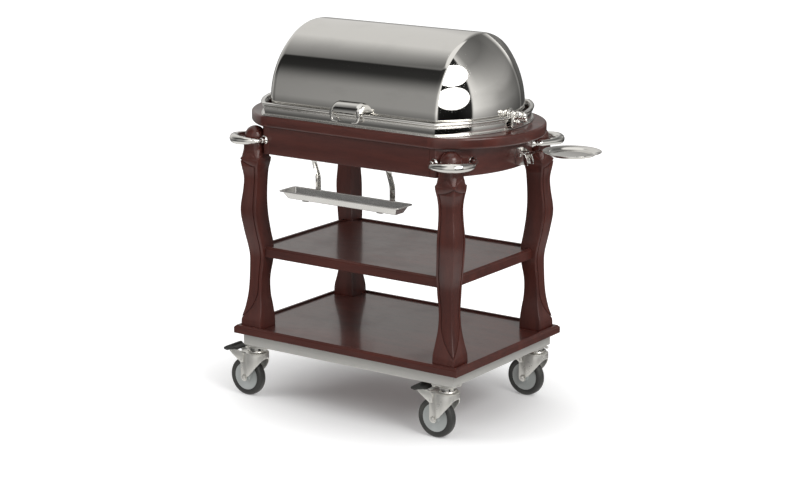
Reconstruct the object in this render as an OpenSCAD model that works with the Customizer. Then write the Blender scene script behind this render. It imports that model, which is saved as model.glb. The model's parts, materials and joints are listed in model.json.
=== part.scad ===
// Carving trolley: a wooden table on castors with a roll-top dome over a hot well.
// X runs along the long side, -Y is the front, Z is up, and the origin is on the floor below the middle.

/* [Base] */
// Length of the base board along X
base_l = 850; // [830:1:880]
// Width of the base board along Y
base_w = 597; // [590:1:620]
// Height of the wood base board's underside above the floor
base_z = 212; // [208:1:220]
// Height of the middle shelf's underside above the floor
shelf_z = 465; // [440:1:490]
// Depth of the recess that the shelf mouldings form around each panel
recess = 6; // [3:1:8]

/* [Table] */
// Height of the apron's lower edge above the floor
apron_z = 798; // [790:1:800]
// Height of the top board's underside above the floor
board_z = 885; // [884:1:888]
// Height of the top board's upper face above the floor
deck_z = 919; // [916:1:922]
// Height of the gallery rim's upper bead above the floor
gallery_z = 960; // [956:1:962]

/* [Dome] */
// Outer radius of the dome
dome_r = 236; // [230:1:237]
// Half length of the dome's straight part
dome_xs = 304; // [298:1:306]
// How far each domed end stands out from the straight part
dome_sag = 108; // [100:1:109]
// Thickness of the dome's sheet
dome_t = 1.5; // [1.2:0.1:2]

/* [Castors] */
// Wheel diameter
wheel_d = 125; // [120:1:126]
// Wheel tread width
wheel_w = 30; // [26:1:32]
// Distance from the swivel axis back to the axle
trail = 38; // [34:1:40]

/* [Legs] */
// Width of the square shoulder at the top of each leg
leg_w = 70; // [66:1:72]
// X of each leg's axis
leg_x = 367; // [365:1:369]
// Y of each leg's axis
leg_y = 246; // [244:1:248]

/* [Hidden] */

$fn = 96;
eps = 1;
wood = [0.31, 0.18, 0.16];
steel = [0.70, 0.69, 0.66];
chrome = [0.82, 0.82, 0.80];
rubber = [0.27, 0.27, 0.26];
black = [0.10, 0.10, 0.10];
beech = [0.72, 0.55, 0.36];
hub_grey = [0.58, 0.60, 0.60];

// Plan curves: a strip of half width w whose ends are arcs of radius r about (+-cx, 0)
bead_w = 266.6;
bead_r = 364.4;
bead_cx = 72.3;
gallery_in = 14.6;
wall_in = 8;
opening_in = 19.6;
board_w = 271.8;
board_r = 300.8;
board_cx = 191.9;
apron_w = 260.8;
apron_r = 363;
apron_cx = 68.2;
apron_t = 14;
rail_x = 300;

// Dome: each end is part of a sphere about (+-cap_cx, 0, pivot_z)
pivot_z = gallery_z + 1;
cap_r = (dome_r * dome_r + dome_sag * dome_sag) / (2 * dome_sag);
cap_cx = dome_xs + dome_sag - cap_r;
pole_x = dome_xs + dome_sag;
dome_skirt = 5;
rim_r = 3;
pull_y = -240;
pull_z = 954;
pull_r = 38;
pull_w = 57;
pull_t = 5;
tip_z = 932;
tip_w = 10;
shaft_r = 8;
bush_r = 14;
run_gap = 0.05;

// Well that hangs between the pivot shafts
well_z = pivot_z - 24;
well_w = 224;
well_r = 295;
well_cx = 93;
tank_l = 520;
tank_w = 315;
tank_depth = 104;
tank_t = 1.5;
pan_depth = 55;
pot_depth = 75;
pan_l = 350;
pan_w = 325;
pan_rim = 10;
pan_t = 1.2;
rim_t = 1.5;
gap = 0.3;
rim_z = well_z + 2 * gap + rim_t;
pan_x = -265;
carve_h = 14;
pot_l = 176;
pot_w = 162;
pot_x = 89;
burner_x = 130;
cradle_z = 770;
cradle_w = 51;
cradle_t = 2;

// Legs and shelves
leg_h = leg_w / 2;
lip = 14;
edge_h = 20;
foot_z = base_z + edge_h + recess;
shoulder_z = 778;
finial_r = 32.5;
neck_h = 30;
neck_r = 17;
cone_h = 25;
notch_gap = 0.2;
// How far the outer face moves in from the shoulder, and the inner face moves out, by height
outer_line = [[238, -4], [262, -3], [300, 6], [356, 14], [440, 17.6], [478, 16.6], [553, 5],
  [614, -1.5], [684, 5.5], [719, 7], [778, 0]];
inner_line = [[238, 4], [262, 3.5], [300, 0], [335, -4.3], [375, -5.7], [405, -4], [450, 2],
  [500, 3], [540, -2], [600, -8], [660, -9.6], [740, -6], [778, 0]];
shelf_x = 370;
shelf_y = 255;
shelf_h = 33;
notch_x = leg_x - leg_h - 1.5;
notch_y = leg_y - leg_h - 1.5;

// Sub-frame
frame_x = 400;
frame_y = 280;
tube = 40;
tube_w = 30;
tube_t = 2;
frame_z = base_z - tube;

// Castors
castor_x = 366;
castor_y = 255;
plate_t = 6;
race_r = 26;
kingpin_r = 6;
axle_r = 6;
wheel_r = wheel_d / 2;
crown_z = 143.5;
nut_h = 6.5;
bolt_h = 5.5;
bolt_places = [[-42, 12], [27, 18], [20, -34]];
CORNERS = [[-1, -1], [1, -1], [-1, 1], [1, 1]];
crown_t = 5;
fork_in = 20;
fork_t = 3;
eye_r = 14;
tyre_in = 44;
pedal_x = -trail - 8;
pedal_z = 120;
rivet_r = 3;
cheek_in = fork_in + fork_t + gap;
cheek_t = 3;
pad_x = -54;

// Handles round the leg tops
handle_z = 843;
bow_r = 11.5;
bow_ring = 66;
bow_from = -118;
bow_to = 43;
bow_c = [leg_x, -leg_y];
foot_a = [318, -apron_w];
foot_b = [391, -166];
normal_b = [0.889, -0.457];

// Knife tray and its straps
tray_x = 225;
tray_y = -274;
tray_hw = 42;
tray_z = 703;
tray_d = 26;
tray_t = 1.2;
tray_rim = 8;
strap_x = 140;
strap_w = 20;
strap_t = 3;
strap_y = apron_t - apron_w + strap_t / 2;
strap_low = tray_z - tray_d - 0.5 - strap_t / 2;
strap_line = [[strap_y, apron_z + 70], [strap_y, apron_z + 2], [-222, 743], [-222, strap_low],
  [-292, strap_low]];

// Plate holder on the right end
bracket_y = 22;
bracket_w = 35;
bracket_r = 46;
bracket_x = 430.3;
bracket_t = 3;
screw_r = 4;
bracket_z = 812;
arm_x = 447;
arm_z = 838;
dish_x = 617;
dish_z = 868;
dish_r = 89;

// ---------- helpers ----------
// Oval plan with kinked corners
module plan(w, r, cx) {
  square([2 * cx, 2 * w], center = true);
  for (s = [-1, 1])
    intersection() {
      translate([s * cx, 0]) circle(r, $fn = 180);
      translate([s > 0 ? cx - eps : -cx - 400 + eps, -w]) square([400, 2 * w]);
    }
}

// Band between a plan and the same plan d further in
module band(w, r, cx, d, h) {
  linear_extrude(h)
    difference() {
      plan(w, r, cx);
      plan(w - d, r - d, cx);
    }
}

module box(x0, x1, y0, y1, z0, z1) {
  translate([x0, y0, z0]) cube([x1 - x0, y1 - y0, z1 - z0]);
}

module long_zone() {
  box(-rail_x, rail_x, -400, 400, 0, 1300);
}

module four() {
  for (sx = [-1, 1], sy = [-1, 1]) scale([sx, sy, 1]) children();
}

// Cylinder along X from x0 to x1
module rod_x(x0, x1, y, z, r) {
  translate([x0, y, z]) rotate([0, 90, 0]) cylinder(h = x1 - x0, r = r);
}

// Cylinder along Y from y0 to y1
module rod_y(x, y0, y1, z, r) {
  translate([x, y1, z]) rotate([90, 0, 0]) cylinder(h = y1 - y0, r = r);
}

// Smooth curve through points [z, offset], with k steps between neighbours
function slope(p, i) = i == 0 || i == len(p) - 1 ? 0
  : (p[i + 1][1] - p[i - 1][1]) / (p[i + 1][0] - p[i - 1][0]);
function between(p, i, t) =
  let (h = p[i + 1][0] - p[i][0], t2 = t * t, t3 = t2 * t)
  (2 * t3 - 3 * t2 + 1) * p[i][1] + (t3 - 2 * t2 + t) * h * slope(p, i)
  + (3 * t2 - 2 * t3) * p[i + 1][1] + (t3 - t2) * h * slope(p, i + 1);
function curve(p, k) = concat(
  [for (i = [0:len(p) - 2], j = [0:k - 1])
    [p[i][0] + j / k * (p[i + 1][0] - p[i][0]), between(p, i, j / k)]],
  [p[len(p) - 1]]);
function reversed(p) = [for (i = [len(p) - 1:-1:0]) p[i]];

// ---------- base ----------
// Rectangular tube with its ends welded shut
module hollow_tube(l) {
  difference() {
    box(0, l, 0, tube_w, 0, tube);
    box(tube_t, l - tube_t, tube_t, tube_w - tube_t, tube_t, tube - tube_t);
  }
}

module frame_long_tubes() color(steel)
  for (s = [-1, 1])
    translate([-frame_x, s > 0 ? frame_y - tube_w : -frame_y, frame_z])
      hollow_tube(2 * frame_x);

module frame_end_tubes() color(steel)
  for (s = [-1, 1])
    translate([s > 0 ? frame_x : tube_w - frame_x, tube_w - frame_y, frame_z])
      rotate([0, 0, 90]) hollow_tube(2 * (frame_y - tube_w));

module castor_plates() color(steel)
  four() box(castor_x - 52, frame_x - 1, castor_y - 42, frame_y - 1, frame_z - plate_t, frame_z);

module castor_kingpins() color(steel)
  four() translate([castor_x, castor_y, crown_z - nut_h - 0.5]) {
    cylinder(h = frame_z - plate_t - crown_z + nut_h + 0.5, r = kingpin_r);
    cylinder(h = nut_h, r = 9, $fn = 6);
  }

module castor_races() color(chrome)
  four() translate([castor_x, castor_y, crown_z + crown_t + gap])
    difference() {
      cylinder(h = frame_z - plate_t - crown_z - crown_t - gap, r = race_r);
      translate([0, 0, -eps]) cylinder(h = tube, r = kingpin_r);
    }

module frame_bolts() color(chrome)
  four() for (p = bolt_places)
    translate([castor_x + p[0], castor_y + p[1], frame_z - plate_t - bolt_h])
      cylinder(h = bolt_h, r = 6, $fn = 6);

// Moulding: plain fascia with a bevelled shoulder, a step and a flat lip
module moulding(l, h) {
  rotate([90, 0, 90])
    linear_extrude(l)
      polygon([[0, 0], [lip, 0], [lip, h + recess], [6, h + recess], [4, h + 3], [0, h]]);
}

// Four mitred mouldings along the edges of a board x by y (half sizes)
module mitred(x, y, h) {
  for (s = [0, 1])
    rotate([0, 0, 180 * s]) {
      intersection() {
        translate([-x, -y, 0]) moulding(2 * x, h);
        linear_extrude(h + recess)
          polygon([[-x, -y], [x, -y], [x - lip, lip - y], [lip - x, lip - y]]);
      }
      intersection() {
        translate([x, -y, 0]) rotate([0, 0, 90]) moulding(2 * y, h);
        linear_extrude(h + recess)
          polygon([[x, -y], [x, y], [x - lip, y - lip], [x - lip, lip - y]]);
      }
    }
}

module bottom_edging() color(wood)
  translate([0, 0, base_z]) mitred(base_l / 2, base_w / 2, edge_h);

module bottom_panel() color(wood)
  box(lip - base_l / 2, base_l / 2 - lip, lip - base_w / 2, base_w / 2 - lip,
    base_z, base_z + edge_h);

module middle_edging() color(wood)
  for (s = [0, 1])
    rotate([0, 0, 180 * s]) {
      translate([-notch_x, -shelf_y, shelf_z]) moulding(2 * notch_x, shelf_h - recess);
      translate([shelf_x, -notch_y, shelf_z])
        rotate([0, 0, 90]) moulding(2 * notch_y, shelf_h - recess);
    }

module middle_panel() color(wood)
  difference() {
    box(lip - shelf_x, shelf_x - lip, lip - shelf_y, shelf_y - lip,
      shelf_z, shelf_z + shelf_h - recess);
    four() box(notch_x, shelf_x, notch_y, shelf_y, shelf_z - eps, shelf_z + shelf_h);
  }

// ---------- legs ----------
// One side of the leg as an outline: u grows outwards from the axis
module leg_side() {
  polygon(concat(
    [for (p = curve(outer_line, 3)) [leg_h - p[1], p[0]]],
    reversed([for (p = curve(inner_line, 3)) [-leg_h - p[1], p[0]]])));
}

module rounded_square(h, r) {
  square([2 * h, 2 * (h - r)], center = true);
  square([2 * (h - r), 2 * h], center = true);
  for (sx = [-1, 1], sy = [-1, 1]) translate([sx * (h - r), sy * (h - r)]) circle(r);
}

// Leg in the +X +Y quarter before it is fitted
module leg_blank() {
  translate([leg_x, leg_y, 0]) {
    intersection() {
      translate([0, 60, 0]) rotate([90, 0, 0]) linear_extrude(120) leg_side();
      translate([-60, 0, 0]) rotate([90, 0, 90]) linear_extrude(120) leg_side();
    }
    intersection() {
      box(-leg_h, leg_h, -leg_h, leg_h, shoulder_z, shoulder_z + cone_h);
      translate([0, 0, shoulder_z]) cylinder(h = cone_h, r1 = leg_h * sqrt(2), r2 = neck_h - 3);
    }
    translate([0, 0, shoulder_z])
      linear_extrude(handle_z + 2 - shoulder_z) rounded_square(neck_h, neck_r);
    translate([0, 0, board_z - 4 - finial_r]) sphere(finial_r);
  }
}

// Scribed to the apron, the base moulding and the middle shelf, with a tenon in the base's recess
module leg() {
  difference() {
    leg_blank();
    translate([0, 0, apron_z])
      linear_extrude(200) plan(apron_w + notch_gap, apron_r + notch_gap, apron_cx);
    difference() {
      box(0, base_l, 0, base_w, foot_z - 20, foot_z);
      box(-eps, base_l / 2 - lip, -eps, base_w / 2 - lip, foot_z - recess, foot_z + eps);
    }
    box(0, notch_x, 0, base_w, shelf_z, shelf_z + shelf_h);
    box(0, base_l, 0, notch_y, shelf_z, shelf_z + shelf_h);
  }
  intersection() {
    translate([leg_x, leg_y, foot_z - recess])
      linear_extrude(recess) square(2 * leg_h + 8, center = true);
    box(0, base_l / 2 - lip, 0, base_w / 2 - lip, foot_z - recess, foot_z);
  }
}

module leg_front_left() color(wood) scale([-1, -1, 1]) leg();
module leg_front_right() color(wood) scale([1, -1, 1]) leg();
module leg_back_left() color(wood) scale([-1, 1, 1]) leg();
module leg_back_right() color(wood) leg();

// ---------- table ----------
module apron_ring() {
  translate([0, 0, apron_z]) band(apron_w, apron_r, apron_cx, apron_t, board_z - apron_z);
}

module apron_long_rails() color(wood)
  intersection() {
    apron_ring();
    long_zone();
  }

module apron_ends() color(wood)
  difference() {
    apron_ring();
    long_zone();
  }

module board_ring() {
  translate([0, 0, board_z])
    linear_extrude(deck_z - board_z)
      difference() {
        plan(board_w, board_r, board_cx);
        plan(bead_w - opening_in, bead_r - opening_in, bead_cx);
      }
}

module top_long_rails() color(wood)
  intersection() {
    board_ring();
    long_zone();
  }

module top_ends() color(wood)
  difference() {
    board_ring();
    long_zone();
  }

// Rim on the board: flange, plain wall, fine bead and main bead
module gallery() color(steel)
  difference() {
    union() {
      translate([0, 0, deck_z]) band(bead_w, bead_r, bead_cx, gallery_in, 4);
      translate([0, 0, deck_z + 3])
        band(bead_w - wall_in, bead_r - wall_in, bead_cx, gallery_in - wall_in, gallery_z - deck_z - 8);
      translate([0, 0, gallery_z - 15]) band(bead_w - 3, bead_r - 3, bead_cx, gallery_in - 3, 4);
      translate([0, 0, gallery_z - 8]) band(bead_w, bead_r, bead_cx, gallery_in, 8);
    }
    for (s = [-1, 1]) rod_x(s * 430 - 20, s * 430 + 20, 0, pivot_z, 13.2);
  }

// ---------- pivots and well ----------
module both_ends() {
  for (s = [-1, 1]) scale([s, 1, 1]) children();
}

// Turned barrel that clamps the fixed shaft and sits over the gallery rim
module pivot_housings() color(chrome)
  both_ends() difference() {
    union() {
      translate([pole_x + 10, 0, pivot_z]) rotate([0, 90, 0])
        rotate_extrude()
          polygon([[0, 0], [11, 0], [13, 3], [13, 6], [11, 9], [12.5, 16], [12.5, 22], [11, 26],
            [13, 28], [13, 32], [10, 35], [11.5, 42], [9, 48], [5, 52], [0, 53]]);
      box(bead_cx + bead_r + 0.4, bead_cx + bead_r + 8, -30, 30, deck_z + 6, pivot_z - 4);
    }
    rod_x(pole_x, pole_x + 45, 0, pivot_z, shaft_r);
  }

module clamp_screws() color(chrome)
  both_ends() for (s = [-1, 1])
    translate([bead_cx + bead_r + 8, s * 21, gallery_z - 16]) {
      rotate([0, 90, 0]) cylinder(h = 5, r = 3);
      translate([11, 0, 0]) sphere(7.5);
    }

module pivot_shafts() color(steel)
  both_ends() rod_x(pole_x - 18, pole_x + 45, 0, pivot_z, shaft_r);

module tank_hangers() color(steel)
  both_ends() {
    box(pole_x - 58, pole_x - 24, -18, 18, well_z, well_z + 3);
    box(pole_x - 27, pole_x - 18, -18, 18, well_z, pivot_z);
    rod_x(pole_x - 27, pole_x - 18, 0, pivot_z, 18);
  }

// Bain-marie tank with a wide oval deck
module water_tank() color(steel)
  difference() {
    union() {
      translate([0, 0, well_z - 2]) linear_extrude(2) plan(well_w, well_r, well_cx);
      translate([0, 0, well_z - 14]) band(well_w, well_r, well_cx, 2, 13);
      box(-tank_l / 2, tank_l / 2, -tank_w / 2, tank_w / 2, well_z - tank_depth, well_z - 1);
    }
    box(tank_t - tank_l / 2, tank_l / 2 - tank_t, tank_t - tank_w / 2, tank_w / 2 - tank_t,
      well_z - tank_depth + tank_t, well_z + eps);
  }

// Straps under the tank that carry the spirit burners
module burner_cradle() color(steel)
  for (s = [-1, 1]) translate([s * burner_x, 0, 0]) {
    for (t = [-cradle_w, cradle_w])
      box(-8, 8, t - cradle_t / 2, t + cradle_t / 2, cradle_z, well_z - tank_depth);
    box(-8, 8, -cradle_w, cradle_w, cradle_z, cradle_z + cradle_t);
  }

module burners() color(steel)
  for (s = [-1, 1]) translate([s * burner_x, 0, cradle_z + cradle_t])
    rotate_extrude()
      polygon([[0, 0], [42, 0], [45, 3], [45, 34], [40, 38], [16, 38], [14, 44], [7, 44], [7, 49], [0, 49]]);

// Open pan with a flat rim that rests on the deck
module pan(l, w, d) {
  i = pan_rim + pan_t;
  difference() {
    union() {
      box(0, l, 0, w, well_z, well_z + rim_t);
      box(pan_rim, l - pan_rim, pan_rim, w - pan_rim, well_z - d, well_z + 1);
    }
    box(i, l - i, i, w - i, well_z - d + pan_t, well_z + 3);
  }
}

module carving_pan() color(steel)
  translate([pan_x, -pan_w / 2, gap]) pan(pan_l, pan_w, pan_depth);

module sauce_pot_front() color(steel)
  translate([pot_x, -pot_w - gap, gap]) pan(pot_l, pot_w, pot_depth);

module sauce_pot_back() color(steel)
  translate([pot_x, gap, gap]) pan(pot_l, pot_w, pot_depth);

// Block set in from the carving pan's outline
module board_box(inset, z0, z1) {
  box(pan_x + inset, pan_x + pan_l - inset, inset - pan_w / 2, pan_w / 2 - inset, z0, z1);
}

// Carving board that sits down into its pan, with a juice groove
module carving_board() color(beech)
  difference() {
    union() {
      board_box(13, well_z - 10, rim_z + 1);
      board_box(3, rim_z, rim_z + carve_h);
    }
    difference() {
      board_box(20, rim_z + carve_h - 5, rim_z + 20);
      board_box(30, rim_z + carve_h - 6, rim_z + 21);
    }
  }

// Flat lid with a plug below, a stem and a ball knob
module pot_lid(y0) {
  translate([pot_x, y0, rim_z]) {
    box(0, pot_l, 0, pot_w, 0, rim_t);
    box(14, pot_l - 14, 14, pot_w - 14, 1, 7);
    translate([pot_l / 2, pot_w / 2, 6]) cylinder(h = 8, r = 5);
    translate([pot_l / 2, pot_w / 2, 20]) sphere(10);
  }
}

module pot_lid_front() color(steel) pot_lid(-pot_w - gap);
module pot_lid_back() color(steel) pot_lid(gap);

// ---------- dome ----------
module dome_solid(d) {
  translate([0, 0, pivot_z]) rotate([0, 90, 0])
    rotate_extrude($fn = 180) {
      translate([0, -dome_xs]) square([dome_r - d, 2 * dome_xs]);
      for (s = [-1, 1])
        intersection() {
          translate([0, s * cap_cx]) circle(cap_r - d, $fn = 360);
          translate([0, s > 0 ? dome_xs - 0.1 : -pole_x]) square([dome_r, dome_sag + 0.1]);
        }
    }
}

module dome_shell() color(chrome)
  difference() {
    dome_solid(0);
    dome_solid(dome_t);
    box(-500, 500, -300, 300, pivot_z - 300, pivot_z - dome_skirt);
    for (s = [-1, 1]) rod_x(s * pole_x - 15, s * pole_x + 15, 0, pivot_z, bush_r);
  }

// Wire bead below the dome's long edges, flat on top where it is soldered to the sheet
module dome_rim() color(chrome)
  difference() {
    for (s = [-1, 1]) rod_x(-dome_xs, dome_xs, s * (dome_r - 0.5), pivot_z - dome_skirt - 2.5, rim_r);
    box(-pole_x, pole_x, -dome_r - rim_r, dome_r + rim_r, pivot_z - dome_skirt, pivot_z);
  }

module dome_bushes() color(chrome)
  both_ends() difference() {
    union() {
      rod_x(pole_x - 10, pole_x + 8, 0, pivot_z, bush_r);
      rod_x(pole_x + 1, pole_x + 5, 0, pivot_z, 19);
    }
    rod_x(pole_x - 20, pole_x + 20, 0, pivot_z, shaft_r + run_gap);
  }

// Hood-shaped bow over the gallery's front, with two tips that curl down outside it
module dome_handle() color(chrome)
  difference() {
    union() {
      rod_x(-pull_w, pull_w, pull_y, pull_z, pull_r);
      for (x = [-pull_w, pull_w - tip_w])
        box(x, x + tip_w, pull_y - pull_r + 1, pull_y - pull_r + 6, tip_z, pull_z);
    }
    rod_x(pull_t - pull_w, pull_w - pull_t, pull_y, pull_z, pull_r - pull_t);
    box(-pull_w - eps, pull_w + eps, -bead_w - 4, 0, pull_z - 100, gallery_z + 3);
    box(tip_w - pull_w, pull_w - tip_w, -400, 0, pull_z - 100, gallery_z + 3);
    box(-pull_w - eps, pull_w + eps, -400, 0, pull_z - 100, tip_z);
    for (s = [-1, 1])
      box(s * pull_w - 12, s * pull_w + 12, -400, pull_y - pull_r + 0.9, pull_z - 60, pull_z - 5);
    rod_x(-pull_w - eps, pull_w + eps, 0, pivot_z, dome_r);
  }

// ---------- handles ----------
// Vector from a to b in the plan, as angle and length
function aim(a, b) = atan2(b[1] - a[1], b[0] - a[0]);
function reach(a, b) = norm(b - a);

module plan_rod(a, b, z, r) {
  translate([a[0], a[1], z]) rotate([0, 90, aim(a, b)]) cylinder(h = reach(a, b), r = r);
}

function on_bow(t) = bow_c + bow_ring * [cos(t), sin(t)];

module bow() {
  translate([bow_c[0], bow_c[1], handle_z])
    rotate([0, 0, bow_from])
      rotate_extrude(angle = bow_to - bow_from) translate([bow_ring, 0]) circle(bow_r);
  for (e = [[on_bow(bow_from), foot_a + [0, -14]], [on_bow(bow_to), foot_b + 14 * normal_b]]) {
    plan_rod(e[0], e[1], handle_z, 8);
    translate([e[0][0], e[0][1], handle_z]) sphere(bow_r + 1.5);
  }
}

module corner_handles() color(chrome)
  four() scale([1, -1, 1]) bow();

module handle_foot(p, n) {
  translate([p[0], p[1], handle_z]) rotate([0, 90, aim([0, 0], n)])
    rotate_extrude()
      polygon([[0, 0.2], [17, 0.2], [17, 3], [13, 5], [9, 12], [9, 16], [0, 16]]);
}

module handle_feet() color(chrome)
  four() scale([1, -1, 1]) difference() {
    union() {
      handle_foot(foot_a, [0, -1]);
      handle_foot(foot_b, normal_b);
    }
    bow();
    translate([0, 0, apron_z]) linear_extrude(80) plan(apron_w, apron_r, apron_cx);
  }

// ---------- knife tray ----------
// Point i of a line moved d to its left, mitred at the bends
function across(a, b) = [a[1] - b[1], b[0] - a[0]] / norm(b - a);
function beside(p, i, d) =
  let (n = across(p[max(i - 1, 0)], p[max(i, 1)]),
    m = across(p[min(i, len(p) - 2)], p[min(i + 1, len(p) - 1)]))
  p[i] + 2 * d * (n + m) / ((n + m) * (n + m));

module tray_straps() color(chrome)
  for (s = [-1, 1]) translate([s * strap_x - strap_w / 2, 0, 0]) rotate([90, 0, 90])
    linear_extrude(strap_w)
      polygon(concat(
        [for (i = [0:len(strap_line) - 1]) beside(strap_line, i, strap_t / 2)],
        reversed([for (i = [0:len(strap_line) - 1]) beside(strap_line, i, -strap_t / 2)])));

// Trough with sloping walls: a small floor and a large rim
module tray_level(inset, z0, z1) {
  box(inset - tray_x, tray_x - inset, tray_y - tray_hw + inset, tray_y + tray_hw - inset, z0, z1);
}

module trough(t) {
  hull() {
    tray_level(22 + t, tray_z - tray_d + t, tray_z - tray_d + t + 0.1);
    tray_level(tray_rim + t, tray_z - 1, tray_z + t);
  }
}

module knife_tray() color(chrome)
  difference() {
    union() {
      trough(0);
      tray_level(0, tray_z - tray_t, tray_z);
    }
    trough(tray_t);
  }

// ---------- plate holder ----------
// Quarter-disc cheek from y0 outwards
module quadrant(y0) {
  intersection() {
    rod_y(bracket_x, y0, y0 + bracket_t, bracket_z, bracket_r);
    box(bracket_x, bracket_x + 60, y0, y0 + bracket_t, bracket_z - 3, bracket_z + 60);
  }
}

module plate_bracket() color(chrome)
  difference() {
    union() {
      quadrant(bracket_y - bracket_w / 2);
      quadrant(bracket_y + bracket_w / 2 - bracket_t);
      box(bracket_x, bracket_x + bracket_t, bracket_y - bracket_w / 2, bracket_y + bracket_w / 2,
        bracket_z - 3, bracket_z + bracket_r - 1);
    }
    rod_y(arm_x, -50, 100, arm_z, screw_r);
    translate([0, 0, apron_z]) linear_extrude(87) plan(apron_w, apron_r, apron_cx);
  }

module bracket_screws() color(chrome) {
  rod_y(arm_x, bracket_y - bracket_w / 2 - 3, bracket_y + bracket_w / 2 + 3, arm_z, screw_r);
  for (y = [bracket_y - bracket_w / 2 - 4, bracket_y + bracket_w / 2]) rod_y(arm_x, y, y + 4, arm_z, 6.5);
}

module plate_arm() color(chrome)
  difference() {
    union() {
      rod_y(arm_x, bracket_y - 12, bracket_y + 12, arm_z, 9);
      box(arm_x, arm_x + 26, bracket_y - 9, bracket_y + 9, arm_z - 4, arm_z + 6);
      translate([arm_x + 26, bracket_y, arm_z + 6]) sphere(9);
      translate([arm_x + 26, bracket_y, arm_z + 6]) rotate([0, 80, 0])
        linear_extrude(dish_x - dish_r - arm_x) square([6, 18], center = true);
    }
    rod_y(arm_x, bracket_y - 20, bracket_y + 20, arm_z, screw_r + run_gap);
    translate([dish_x, bracket_y, dish_z - 12]) cylinder(h = 30, r = dish_r - 14);
  }

module plate_dish() color(chrome)
  translate([dish_x, bracket_y, dish_z - 12])
    rotate_extrude()
      polygon([[0, 0], [62, 0], [74, 2], [84, 9], [dish_r, 10.5], [dish_r, 12], [84, 11.5],
        [73, 5], [61, 2], [0, 2]]);

// ---------- castors ----------
// Moves a castor that is drawn about its swivel axis to corner i
module at_corner(i) {
  translate([CORNERS[i][0] * castor_x, CORNERS[i][1] * castor_y, 0]) children();
}

module fork_side(y0) {
  translate([0, y0 + fork_t, 0]) rotate([90, 0, 0])
    linear_extrude(fork_t)
      difference() {
        union() {
          polygon([[-trail - eye_r, wheel_r], [-trail - eye_r, crown_z + 1], [34, crown_z + 1],
            [34, crown_z - 8], [10, crown_z - 26], [-6, crown_z - 50], [-trail + eye_r, wheel_r]]);
          translate([-trail, wheel_r]) circle(eye_r);
        }
        translate([-trail, wheel_r]) circle(axle_r - 1);
      }
}

module castor_fork(i) {
  at_corner(i) {
    difference() {
      union() {
        translate([0, 0, crown_z]) cylinder(h = crown_t, r = 38);
        box(-trail - eye_r, 0, -fork_in - fork_t, fork_in + fork_t, crown_z, crown_z + crown_t);
      }
      translate([0, 0, crown_z - eps]) cylinder(h = crown_t + 2 * eps, r = kingpin_r + run_gap);
    }
    for (s = [-1, 1]) {
      fork_side(s * (fork_in + fork_t / 2) - fork_t / 2);
      rod_y(-trail, s * (fork_in + fork_t + 3) - 3, s * (fork_in + fork_t + 3) + 3, wheel_r, 9.5);
      rod_y(pedal_x, s * (fork_in + 3.8) - 3.8, s * (fork_in + 3.8) + 3.8, pedal_z, rivet_r);
    }
    rod_y(-trail, -fork_in - fork_t, fork_in + fork_t, wheel_r, axle_r);
  }
}

module castor_wheel(i) {
  at_corner(i) translate([-trail, 0, wheel_r]) rotate([90, 0, 0])
    rotate_extrude()
      polygon([[axle_r + run_gap, -fork_in + 0.5], [14, -fork_in + 0.5], [14, -11], [20, -8], [36, -8],
        [40, -12], [tyre_in, -12], [tyre_in, 12], [40, 12], [36, 8], [20, 8], [14, 11],
        [14, fork_in - 0.5], [axle_r + run_gap, fork_in - 0.5]]);
}

module castor_tyre(i) {
  w = wheel_w / 2;
  at_corner(i) translate([-trail, 0, wheel_r]) rotate([90, 0, 0])
    rotate_extrude()
      polygon([[tyre_in, -w + 3], [tyre_in + 4, -w], [wheel_r - 6, -w], [wheel_r - 2, -w + 3],
        [wheel_r, -w + 8], [wheel_r, w - 8], [wheel_r - 2, w - 3], [wheel_r - 6, w],
        [tyre_in + 4, w], [tyre_in, w - 3]]);
}

// Brake lever: two riveted cheeks outside the fork and a ribbed pad
module brake_pedal(i) {
  cheek_y = cheek_in + cheek_t;
  at_corner(i) {
    for (s = [-1, 1])
      translate([0, s * (cheek_in + cheek_t / 2) + cheek_t / 2, 0]) rotate([90, 0, 0])
        linear_extrude(cheek_t)
          difference() {
            union() {
              translate([-trail, 0])
                polygon([[-15, 118], [-30, 134], [-56, 141], [-56, 150], [-24, 150], [-4, 138], [-1, 122]]);
              translate([pedal_x, pedal_z]) circle(7.5);
            }
            translate([pedal_x, pedal_z]) circle(rivet_r + run_gap);
          }
    translate([pad_x - trail, 0, 151]) rotate([0, 12, 0]) box(-24, 22, -cheek_y, cheek_y, -5, 5);
  }
}

module castor_fork_fl() color(steel) castor_fork(0);
module castor_fork_fr() color(steel) castor_fork(1);
module castor_fork_bl() color(steel) castor_fork(2);
module castor_fork_br() color(steel) castor_fork(3);
module castor_wheel_fl() color(hub_grey) castor_wheel(0);
module castor_wheel_fr() color(hub_grey) castor_wheel(1);
module castor_wheel_bl() color(hub_grey) castor_wheel(2);
module castor_wheel_br() color(hub_grey) castor_wheel(3);
module castor_tyre_fl() color(rubber) castor_tyre(0);
module castor_tyre_fr() color(rubber) castor_tyre(1);
module castor_tyre_bl() color(rubber) castor_tyre(2);
module castor_tyre_br() color(rubber) castor_tyre(3);
module brake_pedal_fl() color(black) brake_pedal(0);
module brake_pedal_fr() color(black) brake_pedal(1);
module brake_pedal_bl() color(black) brake_pedal(2);
module brake_pedal_br() color(black) brake_pedal(3);

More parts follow.
